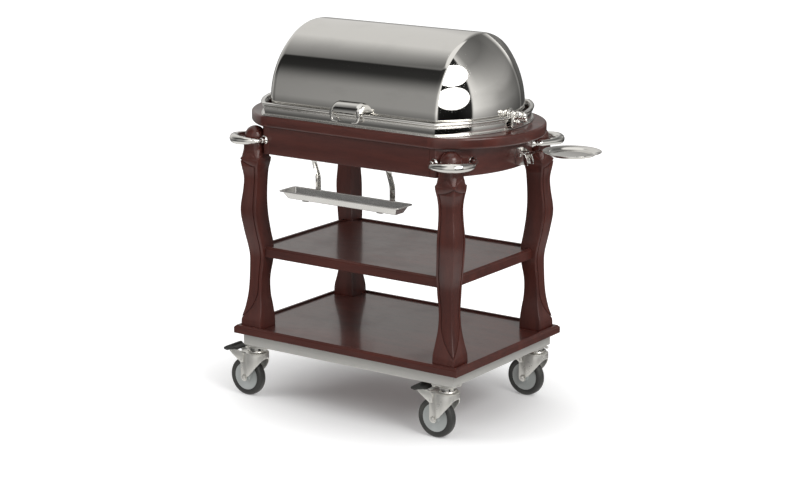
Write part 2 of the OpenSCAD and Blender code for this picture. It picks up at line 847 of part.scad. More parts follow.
frame_long_tubes();
frame_end_tubes();
castor_plates();
castor_kingpins();
castor_races();
frame_bolts();
bottom_panel();
bottom_edging();
middle_panel();
middle_edging();
leg_front_left();
leg_front_right();
leg_back_left();
leg_back_right();
apron_long_rails();
apron_ends();
top_long_rails();
top_ends();
gallery();
pivot_housings();
clamp_screws();
pivot_shafts();
tank_hangers();
water_tank();
burner_cradle();
burners();
corner_handles();
handle_feet();
tray_straps();
plate_bracket();
bracket_screws();
dome_shell();
dome_rim();
dome_bushes();
dome_handle();
knife_tray();
carving_pan();
carving_board();
sauce_pot_front();
sauce_pot_back();
pot_lid_front();
pot_lid_back();
plate_arm();
plate_dish();
castor_fork_fl();
castor_fork_fr();
castor_fork_bl();
castor_fork_br();
castor_wheel_fl();
castor_wheel_fr();
castor_wheel_bl();
castor_wheel_br();
castor_tyre_fl();
castor_tyre_fr();
castor_tyre_bl();
castor_tyre_br();
brake_pedal_fl();
brake_pedal_fr();
brake_pedal_bl();
brake_pedal_br();
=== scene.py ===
# %% [markdown]
# # A carving trolley
# A carving trolley is a small dining-room table on castors. A roll-top dome of polished metal keeps a
# joint of meat hot over a water bath, two shelves carry plates, and a long tray holds the knives.
# The engineering model of the trolley is finished and fixed. This lesson dresses it: every wooden or
# metal part that shows is modelled again in finer detail, and every surface gets a finish of its own.

# %% Load the engineering model
import json
from math import asin, atan2, cos, pi, radians, sin, sqrt, tan

import bmesh
import bpy
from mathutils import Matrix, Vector


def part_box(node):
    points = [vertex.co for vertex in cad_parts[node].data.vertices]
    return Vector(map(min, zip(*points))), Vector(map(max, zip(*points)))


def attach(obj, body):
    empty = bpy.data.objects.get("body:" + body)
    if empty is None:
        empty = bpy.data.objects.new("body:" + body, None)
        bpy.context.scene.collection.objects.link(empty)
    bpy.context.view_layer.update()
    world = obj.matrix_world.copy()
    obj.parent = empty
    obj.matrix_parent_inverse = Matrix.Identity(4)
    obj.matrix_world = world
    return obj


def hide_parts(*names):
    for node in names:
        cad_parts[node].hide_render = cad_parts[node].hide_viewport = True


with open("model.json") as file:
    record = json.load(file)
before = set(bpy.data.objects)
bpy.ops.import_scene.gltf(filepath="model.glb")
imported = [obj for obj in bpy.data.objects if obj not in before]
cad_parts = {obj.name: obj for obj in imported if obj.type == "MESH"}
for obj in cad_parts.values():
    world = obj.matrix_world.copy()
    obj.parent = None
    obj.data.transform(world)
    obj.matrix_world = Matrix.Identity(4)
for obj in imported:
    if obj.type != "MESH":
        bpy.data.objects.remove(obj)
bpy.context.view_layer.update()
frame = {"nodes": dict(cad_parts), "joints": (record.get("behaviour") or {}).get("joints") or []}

MM = 0.001
NODES = frame["nodes"]
JOINTS = {joint["name"]: joint for joint in frame["joints"]}
print("parts:", len(NODES), "joints:", len(JOINTS))

# %% [markdown]
# ## Camera
# The photograph looks down on the front right corner through a long lens from about six metres, so
# parallel edges stay nearly parallel. A camera object takes its place and turn directly, and its lens
# is given in millimetres against a sensor 36 mm wide.

# %% Camera
CAMERA_PLACE = (3.6958, -5.2441, 2.0690)
CAMERA_TILT = 76.387
CAMERA_TURN = 35.088
bpy.ops.object.camera_add(location=CAMERA_PLACE, rotation=(radians(CAMERA_TILT), 0, radians(CAMERA_TURN)))
camera = bpy.context.object
camera.data.lens = 94.21
camera.data.sensor_width = 36
bpy.context.scene.camera = camera
bpy.context.scene.view_settings.view_transform = "Standard"
print("camera", camera.name, "lens", camera.data.lens)

# %% [markdown]
# ## Writing shader maths as expressions
# A procedural finish is a chain of small nodes. Written one by one they hide the idea, so three classes
# help. `Wire` wraps the socket that a value comes out of and answers to +, -, * and /, and each
# operator adds the Math node that does it. `Nodes` is one node tree, and its `add` makes any other
# node. `Finish` is the tree of a material, with the patterns that the finishes below share.

# %% Wire, Nodes and Finish
class Wire:
    """A value on its way through a tree of nodes."""

    def __init__(self, nodes, socket):
        self.nodes = nodes
        self.socket = socket

    def maths(self, operation, *values):
        """One Math node. Every number or wire that it works on is given."""
        return self.nodes.add("Math", dict(enumerate(values)), operation=operation)

    def __add__(self, other):
        return self.maths("ADD", self, other)

    def __sub__(self, other):
        return self.maths("SUBTRACT", self, other)

    def __rsub__(self, other):
        return self.maths("SUBTRACT", other, self)

    def __mul__(self, other):
        return self.maths("MULTIPLY", self, other)

    def __truediv__(self, other):
        return self.maths("DIVIDE", self, other)

    __radd__ = __add__
    __rmul__ = __mul__

    def between(self, low, high):
        """0 below low, 1 above high, and a smooth step in between; low may be the larger."""
        feeds = {"Value": self, "From Min": low, "From Max": high}
        return self.nodes.add("MapRange", feeds, interpolation_type="SMOOTHSTEP")


class Nodes:
    """A tree of nodes, of a material or of the world."""

    def __init__(self, tree):
        self.tree = tree

    def add(self, kind, feeds=None, out=0, stops=(), **settings):
        """A new node: its settings first, then the values or wires that feed its sockets."""
        node = self.tree.nodes.new("ShaderNode" + kind)
        for name, value in settings.items():
            setattr(node, name, value)
        for place, colour in stops:
            stop = node.color_ramp.elements.new(place)
            stop.color = (*colour, 1) if len(colour) == 3 else colour
        if stops:
            node.color_ramp.elements.remove(node.color_ramp.elements[0])
            node.color_ramp.elements.remove(node.color_ramp.elements[-1])
        for name, value in (feeds or {}).items():
            self.feed(node.inputs[name], value)
        return Wire(self, node.outputs[out])

    def feed(self, socket, value):
        if isinstance(value, Wire):
            self.tree.links.new(value.socket, socket)
        else:
            socket.default_value = value


class Finish(Nodes):
    """A material, and the nodes that make its pattern."""

    def __init__(self, name, **constants):
        self.material = bpy.data.materials.new(name)
        self.material.use_nodes = True
        super().__init__(self.material.node_tree)
        self.shader = self.tree.nodes["Principled BSDF"]
        for socket, value in constants.items():
            self.shader.inputs[socket.replace("_", " ")].default_value = value

    def place(self, scale=(1, 1, 1)):
        """Object coordinates in metres, stretched by a scale along each axis."""
        here = self.add("TexCoord", out="Object")
        return self.add("Mapping", {"Vector": here, "Scale": scale})

    def noise(self, scale, detail=2.0, stretch=(1, 1, 1), roughness=0.5):
        """Cloudy noise from 0 to 1, with a mean of about a half."""
        feeds = {"Vector": self.place(stretch), "Scale": scale, "Detail": detail, "Roughness": roughness}
        return self.add("TexNoise", feeds)

    def blend(self, share, low, high):
        """A colour that goes from low to high as the share goes from 0 to 1."""
        return self.add("Mix", {0: share, 6: low, 7: high}, out=2, data_type="RGBA")

    def bump(self, height, depth, strength=1.0):
        """Small relief whose height of 1 stands depth metres proud."""
        return self.add("Bump", {"Height": height, "Distance": depth, "Strength": strength})

    def paint(self, **surfaces):
        """Feeds the shader's sockets and gives back the finished material."""
        for name, wire in surfaces.items():
            self.feed(self.shader.inputs[name.replace("_", " ")], wire)
        return self.material


print("shader helpers ready")

# %% [markdown]
# ## Mahogany
# The wood is mahogany, stained dark red-brown and lacquered to a clear gloss. Under the lacquer, bands
# of lighter and darker heartwood run along the board, dotted with fine dark pores. Noise that is
# stretched along the grain gives both. Boards run along X, Y or Z, so the same recipe is made three
# times with the stretch turned, as a joiner turns the plank.

# %% Mahogany finish
STAIN_DARK = (0.046, 0.0125, 0.0098, 1)
STAIN_LIGHT = (0.112, 0.0275, 0.0190, 1)


def mahogany(name, grain_axis):
    wood = Finish(name, Coat_Roughness=0.12, Coat_IOR=1.5, Specular_IOR_Level=0.35)
    along = [1.0 if axis == grain_axis else 9.0 for axis in "xyz"]
    fine = [1.0 if axis == grain_axis else 22.0 for axis in "xyz"]
    bands = wood.noise(3.2, 5.0, along, 0.58)
    pores = wood.noise(30, 2.0, fine).between(0.40, 0.30)
    wear = wood.noise(7, 3.0).between(0.45, 0.75)
    tone = (bands - 0.24) * 1.4 - pores * 0.30
    rough = wear * 0.10 + pores * 0.12 + 0.34
    relief = bands * 0.3 - pores
    return wood.paint(Base_Color=wood.blend(tone, STAIN_DARK, STAIN_LIGHT), Roughness=rough,
                      Coat_Weight=0.6 - pores * 0.3, Normal=wood.bump(relief, 0.00006, 0.5))


WOOD = {axis: mahogany("mahogany_" + axis, axis) for axis in "xyz"}
print("wood finishes:", [m.name for m in WOOD.values()])

# %% [markdown]
# ## Polished metal
# The dome, the gallery, the handles and the tray are metal polished to a mirror. A mirror shows what is
# round it, so its finish is mostly its roughness: nearly none, with faint wiping marks that blur the
# reflection a little, and a polish that isn't perfectly flat. Cast fittings are a little less flat
# than the spun dome. The tray's duller sheet scatters part of its light, so it is a little less metallic.

# %% Polished finishes
def polished(name, colour, rough, marks, waviness, metallic=1.0):
    metal = Finish(name, Metallic=metallic)
    wiped = metal.noise(9, 4.0, (1, 1, 2.5)).between(0.45, 0.8)
    fine = metal.noise(90, 3.0, (1, 5, 1))
    clouded = tuple(c * 0.93 for c in colour)
    ripple = metal.noise(14, 2.0) * waviness + fine * 0.04
    return metal.paint(Base_Color=metal.blend(wiped, (*colour, 1), (*clouded, 1)),
                       Roughness=wiped * marks + fine * marks * 0.5 + rough,
                       Normal=metal.bump(ripple, 0.00012, 0.35))


MIRROR = (0.86, 0.85, 0.825)
DOME = polished("polished_dome", MIRROR, 0.035, 0.03, 0.10)
GALLERY = polished("polished_gallery", MIRROR, 0.07, 0.05, 0.25)
FITTINGS = polished("polished_fittings", MIRROR, 0.055, 0.05, 0.30)
TRAY = polished("polished_tray", MIRROR, 0.07, 0.05, 0.15, 0.80)
print("polished finishes:", DOME.name, GALLERY.name, FITTINGS.name, TRAY.name)

# %% [markdown]
# ## Brushed and plated steel
# The sub-frame is stainless tube that was brushed along its length: the scratches are noise stretched
# very long, and they change the colour, the roughness and the relief. The castors are pressed steel with
# a bright zinc plating, whose tiny crystals give a flat, very slightly mottled grey. Neither is a full
# metal here: old scratches and crystals scatter light much as paint does.

# %% Brushed and plated finishes
def brushed(name, colour, stretch, rough, metallic=1.0):
    metal = Finish(name, Metallic=metallic)
    scratches = metal.noise(60, 3.0, stretch, 0.7)
    haze = metal.noise(6, 3.0).between(0.4, 0.75)
    darker = tuple(c * 0.84 for c in colour)
    return metal.paint(Base_Color=metal.blend(scratches, (*darker, 1), (*colour, 1)),
                       Roughness=scratches * 0.16 + haze * 0.07 + rough,
                       Normal=metal.bump(scratches, 0.00006, 0.6))


def plated(name, colour):
    metal = Finish(name, Metallic=0.68)
    crystals = metal.add("TexVoronoi", {"Vector": metal.place(), "Scale": 420.0}, out="Color")
    mottle = metal.add("SeparateColor", {"Color": crystals})
    haze = metal.noise(24, 4.0).between(0.35, 0.75)
    duller = tuple(c * 0.93 for c in colour)
    return metal.paint(Base_Color=metal.blend(mottle * 0.35 + haze * 0.5, (*colour, 1), (*duller, 1)),
                       Roughness=haze * 0.04 + mottle * 0.03 + 0.27,
                       Normal=metal.bump(mottle * 0.2 + haze, 0.00002, 0.15))


STEEL = (0.62, 0.61, 0.58)
FRAME_X = brushed("brushed_frame_x", STEEL, (1, 40, 40), 0.30, 0.45)
FRAME_Y = brushed("brushed_frame_y", STEEL, (40, 1, 40), 0.30, 0.45)
WELL = brushed("satin_well", STEEL, (1, 22, 22), 0.22)
BURNER = brushed("burner_steel", (0.46, 0.45, 0.43), (1, 1, 30), 0.30)
ZINC = plated("zinc_castor", (0.78, 0.77, 0.73))
print("steel finishes:", FRAME_X.name, FRAME_Y.name, WELL.name, BURNER.name, ZINC.name)

# %% [markdown]
# ## Rubber, plastic and the carving board
# The tyres are dark grey rubber with a dusty bloom where they roll, the wheel centres are moulded
# blue-grey plastic, and the brake pedals are black plastic with a fine moulded grain. The carving
# board inside the dome is oiled beech: pale, with short flecks along the grain.

# %% Rubber, plastic and beech
def moulded(name, colour, bloom, rough, grain_scale):
    skin = Finish(name, Specular_IOR_Level=0.4)
    dust = skin.noise(18, 5.0).between(0.45, 0.75)
    grain = skin.noise(grain_scale, 2.0)
    return skin.paint(Base_Color=skin.blend(dust, (*colour, 1), (*bloom, 1)),
                      Roughness=dust * 0.15 + grain * 0.08 + rough,
                      Normal=skin.bump(grain, 0.00008, 0.5))


TYRE = moulded("grey_tyre", (0.044, 0.044, 0.042), (0.066, 0.065, 0.060), 0.42, 900)
HUB = moulded("grey_hub", (0.42, 0.44, 0.43), (0.37, 0.39, 0.38), 0.34, 1100)
PEDAL = moulded("black_pedal", (0.030, 0.030, 0.029), (0.046, 0.046, 0.044), 0.36, 1300)


def beech(name):
    wood = Finish(name, Specular_IOR_Level=0.3)
    bands = wood.noise(5, 4.0, (1, 12, 12), 0.6)
    flecks = wood.noise(60, 1.0, (1, 9, 9)).between(0.62, 0.70)
    tone = bands - flecks * 0.3
    return wood.paint(Base_Color=wood.blend(tone, (0.36, 0.20, 0.10, 1), (0.60, 0.40, 0.22, 1)),
                      Roughness=bands * 0.1 + 0.42, Normal=wood.bump(bands - flecks, 0.0001, 0.5))


BEECH = beech("beech_board")
print("moulded finishes:", TYRE.name, HUB.name, PEDAL.name, "and", BEECH.name)

# %% [markdown]
# ## Finishes for the engineering parts
# Parts that are seen only inside, below, or at a glance keep their engineering shape and get a finish.
# The table goes from a node's first letters to its finish, and the longest match counts.

# %% Dress the engineering parts
COATS = {
    "frame_long": FRAME_X, "frame_end": FRAME_Y, "frame_bolts": ZINC,
    "castor": ZINC, "castor_wheel": HUB, "castor_tyre": TYRE, "brake": PEDAL,
    "leg": WOOD["z"], "bottom": WOOD["x"], "middle": WOOD["x"],
    "apron_long": WOOD["x"], "apron_ends": WOOD["y"], "top_long": WOOD["x"], "top_ends": WOOD["y"],
    "gallery": GALLERY, "dome": DOME,
    "tank": WELL, "water": WELL, "carving_pan": WELL, "sauce": WELL, "pot_lid": WELL,
    "burner": BURNER, "carving_board": BEECH,
}


def coat_of(node):
    """The finish of an engineering part; a part that no entry names is a polished fitting."""
    starts = [start for start in COATS if node.startswith(start)]
    return COATS[max(starts, key=len)] if starts else FITTINGS


for node, part in NODES.items():
    for socket in part.material_slots:
        socket.material = coat_of(node)
print("dressed", len(NODES), "parts")

# %% [markdown]
# ## The studio
# The trolley stands in a white photographic studio. The floor is a large pale sheet of paper. It also
# glows for the camera and for reflections, and not for the object, so that it runs into the white
# background. The glow fades out in an oval under the trolley, which paints a shadow there: the floor
# is darker under the trolley than its paper makes it, on top of the real soft shadow that it shows.

# %% Floor
SEES = ("Is Camera Ray", "Is Glossy Ray", "Is Transmission Ray")
FLOOR_SIZE = 60.0
# The glow far from the trolley, and the little glow left under it where the fade paints a shadow; SHADE_X
# and SHADE_Y are the half sizes of that painted shadow's oval, in metres.
GLOW, GLOW_IN_PAINTED_SHADOW = 0.62, 0.02
SHADE_X, SHADE_Y = 0.66, 0.52


def only_seen(nodes):
    """1 for the rays that look at a surface, and 0 for those that light the object."""
    rays = nodes.add("LightPath").socket.node
    camera_ray, glossy_ray, glass_ray = [Wire(nodes, rays.outputs[name]) for name in SEES]
    mirrored = camera_ray.maths("MAXIMUM", glossy_ray, glass_ray)
    return camera_ray.maths("MAXIMUM", camera_ray, mirrored)


bpy.ops.object.select_all(action="DESELECT")
bpy.ops.mesh.primitive_plane_add(size=FLOOR_SIZE)
floor = bpy.context.object
floor.name = "floor"
paper = Finish("floor_paper", Roughness=0.9)
paper.paint(Base_Color=paper.blend(paper.noise(0.6), (0.80, 0.80, 0.80, 1), (0.82, 0.82, 0.82, 1)))
on_floor = paper.add("SeparateXYZ", {0: paper.add("TexCoord", out="Object")}).socket.node
floor_x = Wire(paper, on_floor.outputs["X"]) / SHADE_X
floor_y = Wire(paper, on_floor.outputs["Y"]) / SHADE_Y
distance = floor_x.maths("SQRT", floor_x * floor_x + floor_y * floor_y)
# Painted shadow: the glow falls from the open floor to almost nothing in the oval under the trolley, so the
# camera sees the floor darker there.
glow_with_painted_shadow = distance.between(0.30, 1.45) * GLOW + GLOW_IN_PAINTED_SHADOW
glow = paper.add("Emission", {"Strength": only_seen(paper) * glow_with_painted_shadow})
both = paper.add("AddShader", {0: Wire(paper, paper.shader.outputs[0]), 1: glow})
paper.feed(paper.tree.nodes["Material Output"].inputs["Surface"], both)
floor.data.materials.append(paper.material)
floor.visible_glossy = False
print("floor", FLOOR_SIZE, "m")

# %% [markdown]
# ## The room in the mirrors
# Mirrors need something to mirror, and the dome shows the whole room that it was photographed in. A big
# sphere round the trolley, which only reflections see, carries that room. The light at each point of it
# is worked out from two angles: the azimuth, in degrees round from the front towards the right end, and
# the elevation above the horizon. The walls come from a table of azimuths, and the floor and the bright
# ceiling from a table of elevations. In front a long dark flag hangs, which the barrel of the dome shows
# as the dark line under its bright top. To the right of the front stand two oval soft boxes against a
# black cloth, which the dome's end shows.

# %% Sphere for the room
ROOM_RADIUS = 9.0
ROOM_HEIGHT = 1.0
bpy.ops.object.select_all(action="DESELECT")
bpy.ops.mesh.primitive_uv_sphere_add(segments=96, ring_count=48, radius=ROOM_RADIUS,
                                     location=(0, 0, ROOM_HEIGHT))
surround = bpy.context.object
surround.name = "surround"
surround.visible_camera = False
surround.visible_diffuse = False
surround.visible_shadow = False
surround.visible_volume_scatter = False
print("surround radius", ROOM_RADIUS, "m")

# %% Angles and shapes on the sphere
TO_DEGREES = 180 / pi
room = Finish("surround_light")
on_sphere = room.add("SeparateXYZ", {0: room.add("TexCoord", out="Object")}).socket.node
east, north, up = [Wire(room, socket) for socket in on_sphere.outputs]
azimuth = east.maths("ARCTAN2", east, 0 - north) * TO_DEGREES
flat = east.maths("SQRT", east * east + north * north)
elevation = up.maths("ARCTAN2", up, flat) * TO_DEGREES


def patch(left, right, low, high, soft):
    """1 inside a box of azimuth and elevation, in degrees, falling off over the soft edge."""
    sides = azimuth.between(left - soft, left + soft) * azimuth.between(right + soft, right - soft)
    ends = elevation.between(low - soft, low + soft) * elevation.between(high + soft, high - soft)
    return sides * ends


def soft_box(across, height, half_across, half_height):
    """1 inside an oval of azimuth and elevation, in degrees."""
    aside, above = (azimuth - across) / half_across, (elevation - height) / half_height
    return (aside * aside + above * above).between(1.06, 0.94)


def table(angle, full, rows):
    """Three values that depend on an angle, from rows of degrees and values; full is the whole range."""
    stops = [(degrees / full + 0.5, values) for degrees, *values in rows]
    split = room.add("SeparateColor", {0: room.add("ValToRGB", {0: angle / full + 0.5}, stops=stops)})
    return [Wire(room, socket) for socket in split.socket.node.outputs]


print("room angles ready")

# %% Light of the room
ROOM_POWER = 1.25
ROOM_COLOUR = (1.0, 0.985, 0.955, 1)
FLAG_DARKNESS, CLOTH_DARKNESS = 0.88, 0.97
# The middle and the half sizes of each soft box, in degrees, and its power.
BOXES = [((68, 13, 20, 11.5), 2.2), ((74, 36.5, 22, 10.8), 5.0)]
# Azimuth, how bright the wall is, how much it darkens near the horizon, and how much high up.
WALLS = [
    (-180, 0.13, 0.35, 0), (-158, 0.22, 0.45, 0), (-144, 0.55, 0.55, 0), (-128, 0.55, 0.55, 0),
    (-116, 0.55, 0, 0), (-108, 0.55, 0, 0), (-79, 0.28, 0, 0), (-58, 0.12, 0, 0), (-36, 0.24, 0, 0),
    (-12, 0.26, 0, 0), (8, 0.70, 0, 0), (46, 0.70, 0, 0), (54, 0.30, 0, 0), (72, 0.20, 0, 0),
    (88, 0.60, 0, 0), (92, 0.68, 0, 0.2), (102, 0.56, 0, 0.6), (116, 0.43, 0, 0.6),
    (128, 0.36, 0.2, 0.6), (155, 0.24, 0.35, 0.6), (172, 0.16, 0.35, 0.4), (180, 0.13, 0.35, 0)]
# Elevation, how much of the wall is seen, the light of the floor or ceiling, and how far this is high up.
HEIGHTS = [
    (-32, 0, 0.60, 0), (-21, 0.33, 0, 0), (-13, 0.33, 0, 0), (0, 1, 0, 0), (16, 1, 0, 0), (40, 1, 0, 1),
    (60, 1, 0, 1), (66, 0, 0.72, 1)]

wall, low_dim, high_dim = table(azimuth, 360, WALLS)
seen, added, high_up = table(elevation, 180, HEIGHTS)
near_horizon = elevation.between(12, 5)
level = wall * seen * (1 - low_dim * near_horizon) * (1 - high_dim * high_up) + added
rise = up.maths("ARCTAN2", up, 0 - north) * TO_DEGREES
flag = rise.between(22, 50) * rise.between(65, 62) * azimuth.between(18, -6)
level = level * (1 - flag * FLAG_DARKNESS)
cloth = patch(50, 90, -24, 54, 1.5)
level = level * (1 - cloth * CLOTH_DARKNESS)
for shape, power in BOXES:
    box = soft_box(*shape)
    level = level * (1 - box) + box * power
shine = room.add("Emission", {"Strength": level * ROOM_POWER, "Color": ROOM_COLOUR})
room.feed(room.tree.nodes["Material Output"].inputs["Surface"], shine)
room.material.cycles.emission_sampling = "NONE"
surround.data.materials.append(room.material)
print("room light from", len(WALLS), "wall rows and", len(HEIGHTS), "height rows")

# %% [markdown]
# ## World and lamps
# Seen directly, the world is pure white. For the light that falls on the trolley it is dimmer, so two
# large soft lamps can model the wood: a strong one at the right and a weaker one at the left. The
# mirrors don't see the lamps, because the room above already holds what they should see.

# %% World and lamps
AMBIENT = 0.62
TROLLEY_MIDDLE = Vector((0, 0, 0.6))
world = bpy.data.worlds.new("white_studio")
bpy.context.scene.world = world
world.use_nodes = True
sky = Nodes(world.node_tree)
backdrop = sky.tree.nodes["Background"]
sky.feed(backdrop.inputs["Color"], (1, 1, 1, 1))
sky.feed(backdrop.inputs["Strength"], only_seen(sky) * (1 - AMBIENT) + AMBIENT)


def soft_lamp(name, place, size, power):
    """A square lamp that faces the middle of the trolley."""
    bpy.ops.object.light_add(type="AREA", location=place)
    lamp = bpy.context.object
    lamp.name = name
    lamp.rotation_euler = (TROLLEY_MIDDLE - Vector(place)).to_track_quat("-Z", "Y").to_euler()
    lamp.data.size = size
    lamp.data.energy = power
    lamp.visible_glossy = False
    return lamp


soft_lamp("key_lamp", (4.2, -1.6, 3.6), 2.2, 130)
soft_lamp("fill_lamp", (-3.6, -3.2, 2.6), 2.6, 60)
print("lamps and world ready")

# %% [markdown]
# ## Modelling tools
# Every new part is drawn the way a person would draw it in edit mode. Most start as one vertex that is
# drawn out into an outline, which is then extruded into a bar, spun into a turned part, or bridged to a
# second outline. An operator works on whatever is selected, so each tool begins by selecting nothing,
# and `pick` selects by place or direction.

# %% Start, draw, arc and pick
def millimetres(*values):
    """A vector in metres from values in millimetres."""
    return Vector(values) * MM


def begin(name, point):
    """A new part that is one vertex at a point, left in edit mode with that vertex selected."""
    if bpy.context.object and bpy.context.object.mode == "EDIT":
        bpy.ops.object.mode_set(mode="OBJECT")
    bpy.ops.object.select_all(action="DESELECT")
    bpy.ops.mesh.primitive_plane_add(size=0.01)
    piece = bpy.context.object
    piece.name = name
    bpy.ops.object.mode_set(mode="EDIT")
    bpy.ops.mesh.select_mode(type="VERT")
    bpy.ops.mesh.merge(type="CENTER")
    bpy.ops.transform.translate(value=point)
    return piece


def draw(points):
    """Draws the selected vertex out from the first point to each of the others."""
    for here, there in zip(points, points[1:]):
        bpy.ops.mesh.extrude_vertices_move(TRANSFORM_OT_translate={"value": Vector(there) - Vector(here)})


def arc(centre, axis, degrees, steps):
    """Sweeps what is selected round an axis, by the right-hand rule."""
    bpy.ops.mesh.spin(center=centre, axis=axis, angle=-radians(degrees), steps=steps)


def choose_all():
    bpy.ops.mesh.select_all(action="SELECT")


def pick(kind, test):
    """Selects only the vertices, edges or faces that pass a test."""
    bpy.ops.mesh.select_mode(type=kind)
    bpy.ops.mesh.select_all(action="DESELECT")
    shape = bmesh.from_edit_mesh(bpy.context.object.data)
    shape.normal_update()
    for part in {"VERT": shape.verts, "EDGE": shape.edges, "FACE": shape.faces}[kind]:
        if test(part):
            part.select_set(True)
    if kind == "VERT":
        shape.select_flush(True)
    bmesh.update_edit_mesh(bpy.context.object.data)


def centre_of(part):
    return sum((v.co for v in part.verts), Vector()) / len(part.verts)


def span_of(edge):
    """How far an edge reaches along X, Y and Z."""
    return Vector([abs(d) for d in edge.verts[0].co - edge.verts[1].co])


def sharp(edge, degrees=30):
    return len(edge.link_faces) == 2 and edge.calc_face_angle(0) > radians(degrees)


def outline(name, points):
    """A closed flat face through points."""
    piece = begin(name, points[0])
    draw(points)
    choose_all()
    bpy.ops.mesh.edge_face_add()
    return piece


def pull(vector):
    """Extrudes the selection by a vector."""
    bpy.ops.mesh.extrude_region_move(TRANSFORM_OT_translate={"value": vector})


def soften(width, segments=3, degrees=30, test=lambda edge: True):
    """Rounds the sharp edges that pass a test."""
    pick("EDGE", lambda edge: sharp(edge, degrees) and test(edge))
    bpy.ops.mesh.bevel(offset=width, segments=segments, affect="EDGES", clamp_overlap=True)


def tidy(merge=1e-6):
    """Closes doubled points and turns every face outwards."""
    choose_all()
    bpy.ops.mesh.remove_doubles(threshold=merge)
    choose_all()
    bpy.ops.mesh.normals_make_consistent(inside=False)


print("drawing tools ready")

# %% [markdown]
# ## Modifiers, copies and delivery
# Booleans, bevels and shell thickness are easier as modifiers, and each is applied as soon as it is
# added, so that the next step works on real faces. What repeats is made once, and `flipped` and `moved`
# copy it with a mesh of its own. `turned` is the lathe: it spins a profile round an axis. `deliver`
# hands a finished part over in place of its engineering nodes.

# %% Modifiers, copies and the lathe
def as_object():
    """Leaves edit mode."""
    if bpy.context.object.mode == "EDIT":
        bpy.ops.object.mode_set(mode="OBJECT")


def only(*pieces):
    """Selects these parts and nothing else."""
    as_object()
    bpy.ops.object.select_all(action="DESELECT")
    for piece in pieces:
        piece.select_set(True)
    bpy.context.view_layer.objects.active = pieces[0]


def apply(piece, kind, **settings):
    """Adds a modifier and applies it at once."""
    only(piece)
    step = piece.modifiers.new(kind, kind)
    for name, value in settings.items():
        setattr(step, name, value)
    bpy.ops.object.modifier_apply(modifier=step.name)
    return piece


def break_edges(piece, width, segments, degrees):
    """Takes the sharpness off a finished part's edges."""
    return apply(piece, "BEVEL", width=width * MM, segments=segments, limit_method="ANGLE",
                 angle_limit=radians(degrees))


def cut(piece, tool, operation="DIFFERENCE", keep=False):
    """Cuts a part with another solid, which is used up."""
    apply(piece, "BOOLEAN", operation=operation, object=tool, solver="EXACT")
    if not keep:
        bpy.data.objects.remove(tool)
    return piece


def fuse(name, *pieces):
    """Joins parts into one object."""
    only(*pieces)
    bpy.ops.object.join()
    pieces[0].name = name
    return pieces[0]


def edit(piece):
    """Opens a part in edit mode, with vertices to select."""
    only(piece)
    bpy.ops.object.mode_set(mode="EDIT")
    bpy.ops.mesh.select_mode(type="VERT")


def flipped(piece, name, flip):
    """A copy of a part, mirrored across the planes where flip is -1, with its own mesh."""
    only(piece)
    bpy.ops.object.duplicate()
    copy = bpy.context.object
    copy.name = name
    edit(copy)
    choose_all()
    bpy.ops.transform.resize(value=flip, center_override=(0, 0, 0))
    if flip[0] * flip[1] * flip[2] < 0:
        bpy.ops.mesh.flip_normals()
    as_object()
    return copy


def moved(piece, name, step):
    """A copy of a part, moved, with its own mesh."""
    only(piece)
    bpy.ops.object.duplicate()
    copy = bpy.context.object
    copy.name = name
    edit(copy)
    choose_all()
    bpy.ops.transform.translate(value=step)
    as_object()
    return copy


def deliver(piece, finish, slot, body, *nodes, smooth=32):
    """Smooths, dresses and hands over a finished part in place of its engineering nodes."""
    only(piece)
    bpy.ops.object.shade_smooth_by_angle(angle=radians(smooth))
    piece.data.materials.clear()
    piece.data.materials.append(finish)
    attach(piece, body)
    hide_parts(*nodes)
    print(piece.name, len(piece.data.polygons), "faces")
    return piece


def turned(name, profile, base, direction, steps=48):
    """A turned part: a profile of (height, radius) in millimetres spun about a line from base."""
    axis = Vector(direction).normalized()
    side = axis.orthogonal().normalized()
    points = [Vector(base) + axis * h * MM + side * r * MM for h, r in profile]
    piece = begin(name, points[0])
    draw(points)
    choose_all()
    arc(base, axis, 360, steps)
    tidy(2e-6)
    as_object()
    return piece


print("workshop tools ready")

# %% [markdown]
# ## Dome
# The dome is a half barrel of polished sheet whose two ends are shallow caps, parts of a sphere. A box
# could be bent to it, but a spin gives true round faces, and a mirror finish shows every flat. So its
# outline is drawn lying along the front edge - cap, crease, straight, crease, cap - and spun half a turn
# about the pivot line. The crease is rounded a little, as a spun sheet is, so it catches a bright line.
# The lower edge drops straight down past the pivots, and Solidify gives the sheet its thickness.

# %% Dome shell
dome_low, dome_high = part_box("dome_shell")
PIVOT = Vector(JOINTS["dome_roll"]["pos_m"])
DOME_RADIUS = dome_high.y
# The cap's pole lies in the bush's hole, so the engineering box ends this much short of it.
POLE_GAP = 0.00024
POLE_X = dome_high.x + POLE_GAP
CREASE_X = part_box("dome_rim")[1].x
SHEET = 1.5 * MM
BUSH_HOLE = 13.5 * MM
sag = POLE_X - CREASE_X
CAP_RADIUS = (DOME_RADIUS ** 2 + sag ** 2) / (2 * sag)
CAP_X = POLE_X - CAP_RADIUS
CREASE_ROUND = 12 * MM
hole_angle = asin(BUSH_HOLE / CAP_RADIUS)
crease_angle = asin(DOME_RADIUS / CAP_RADIUS)


def cap_point(side, angle):
    return Vector((side * (CAP_X + CAP_RADIUS * cos(angle)), -CAP_RADIUS * sin(angle), PIVOT.z))


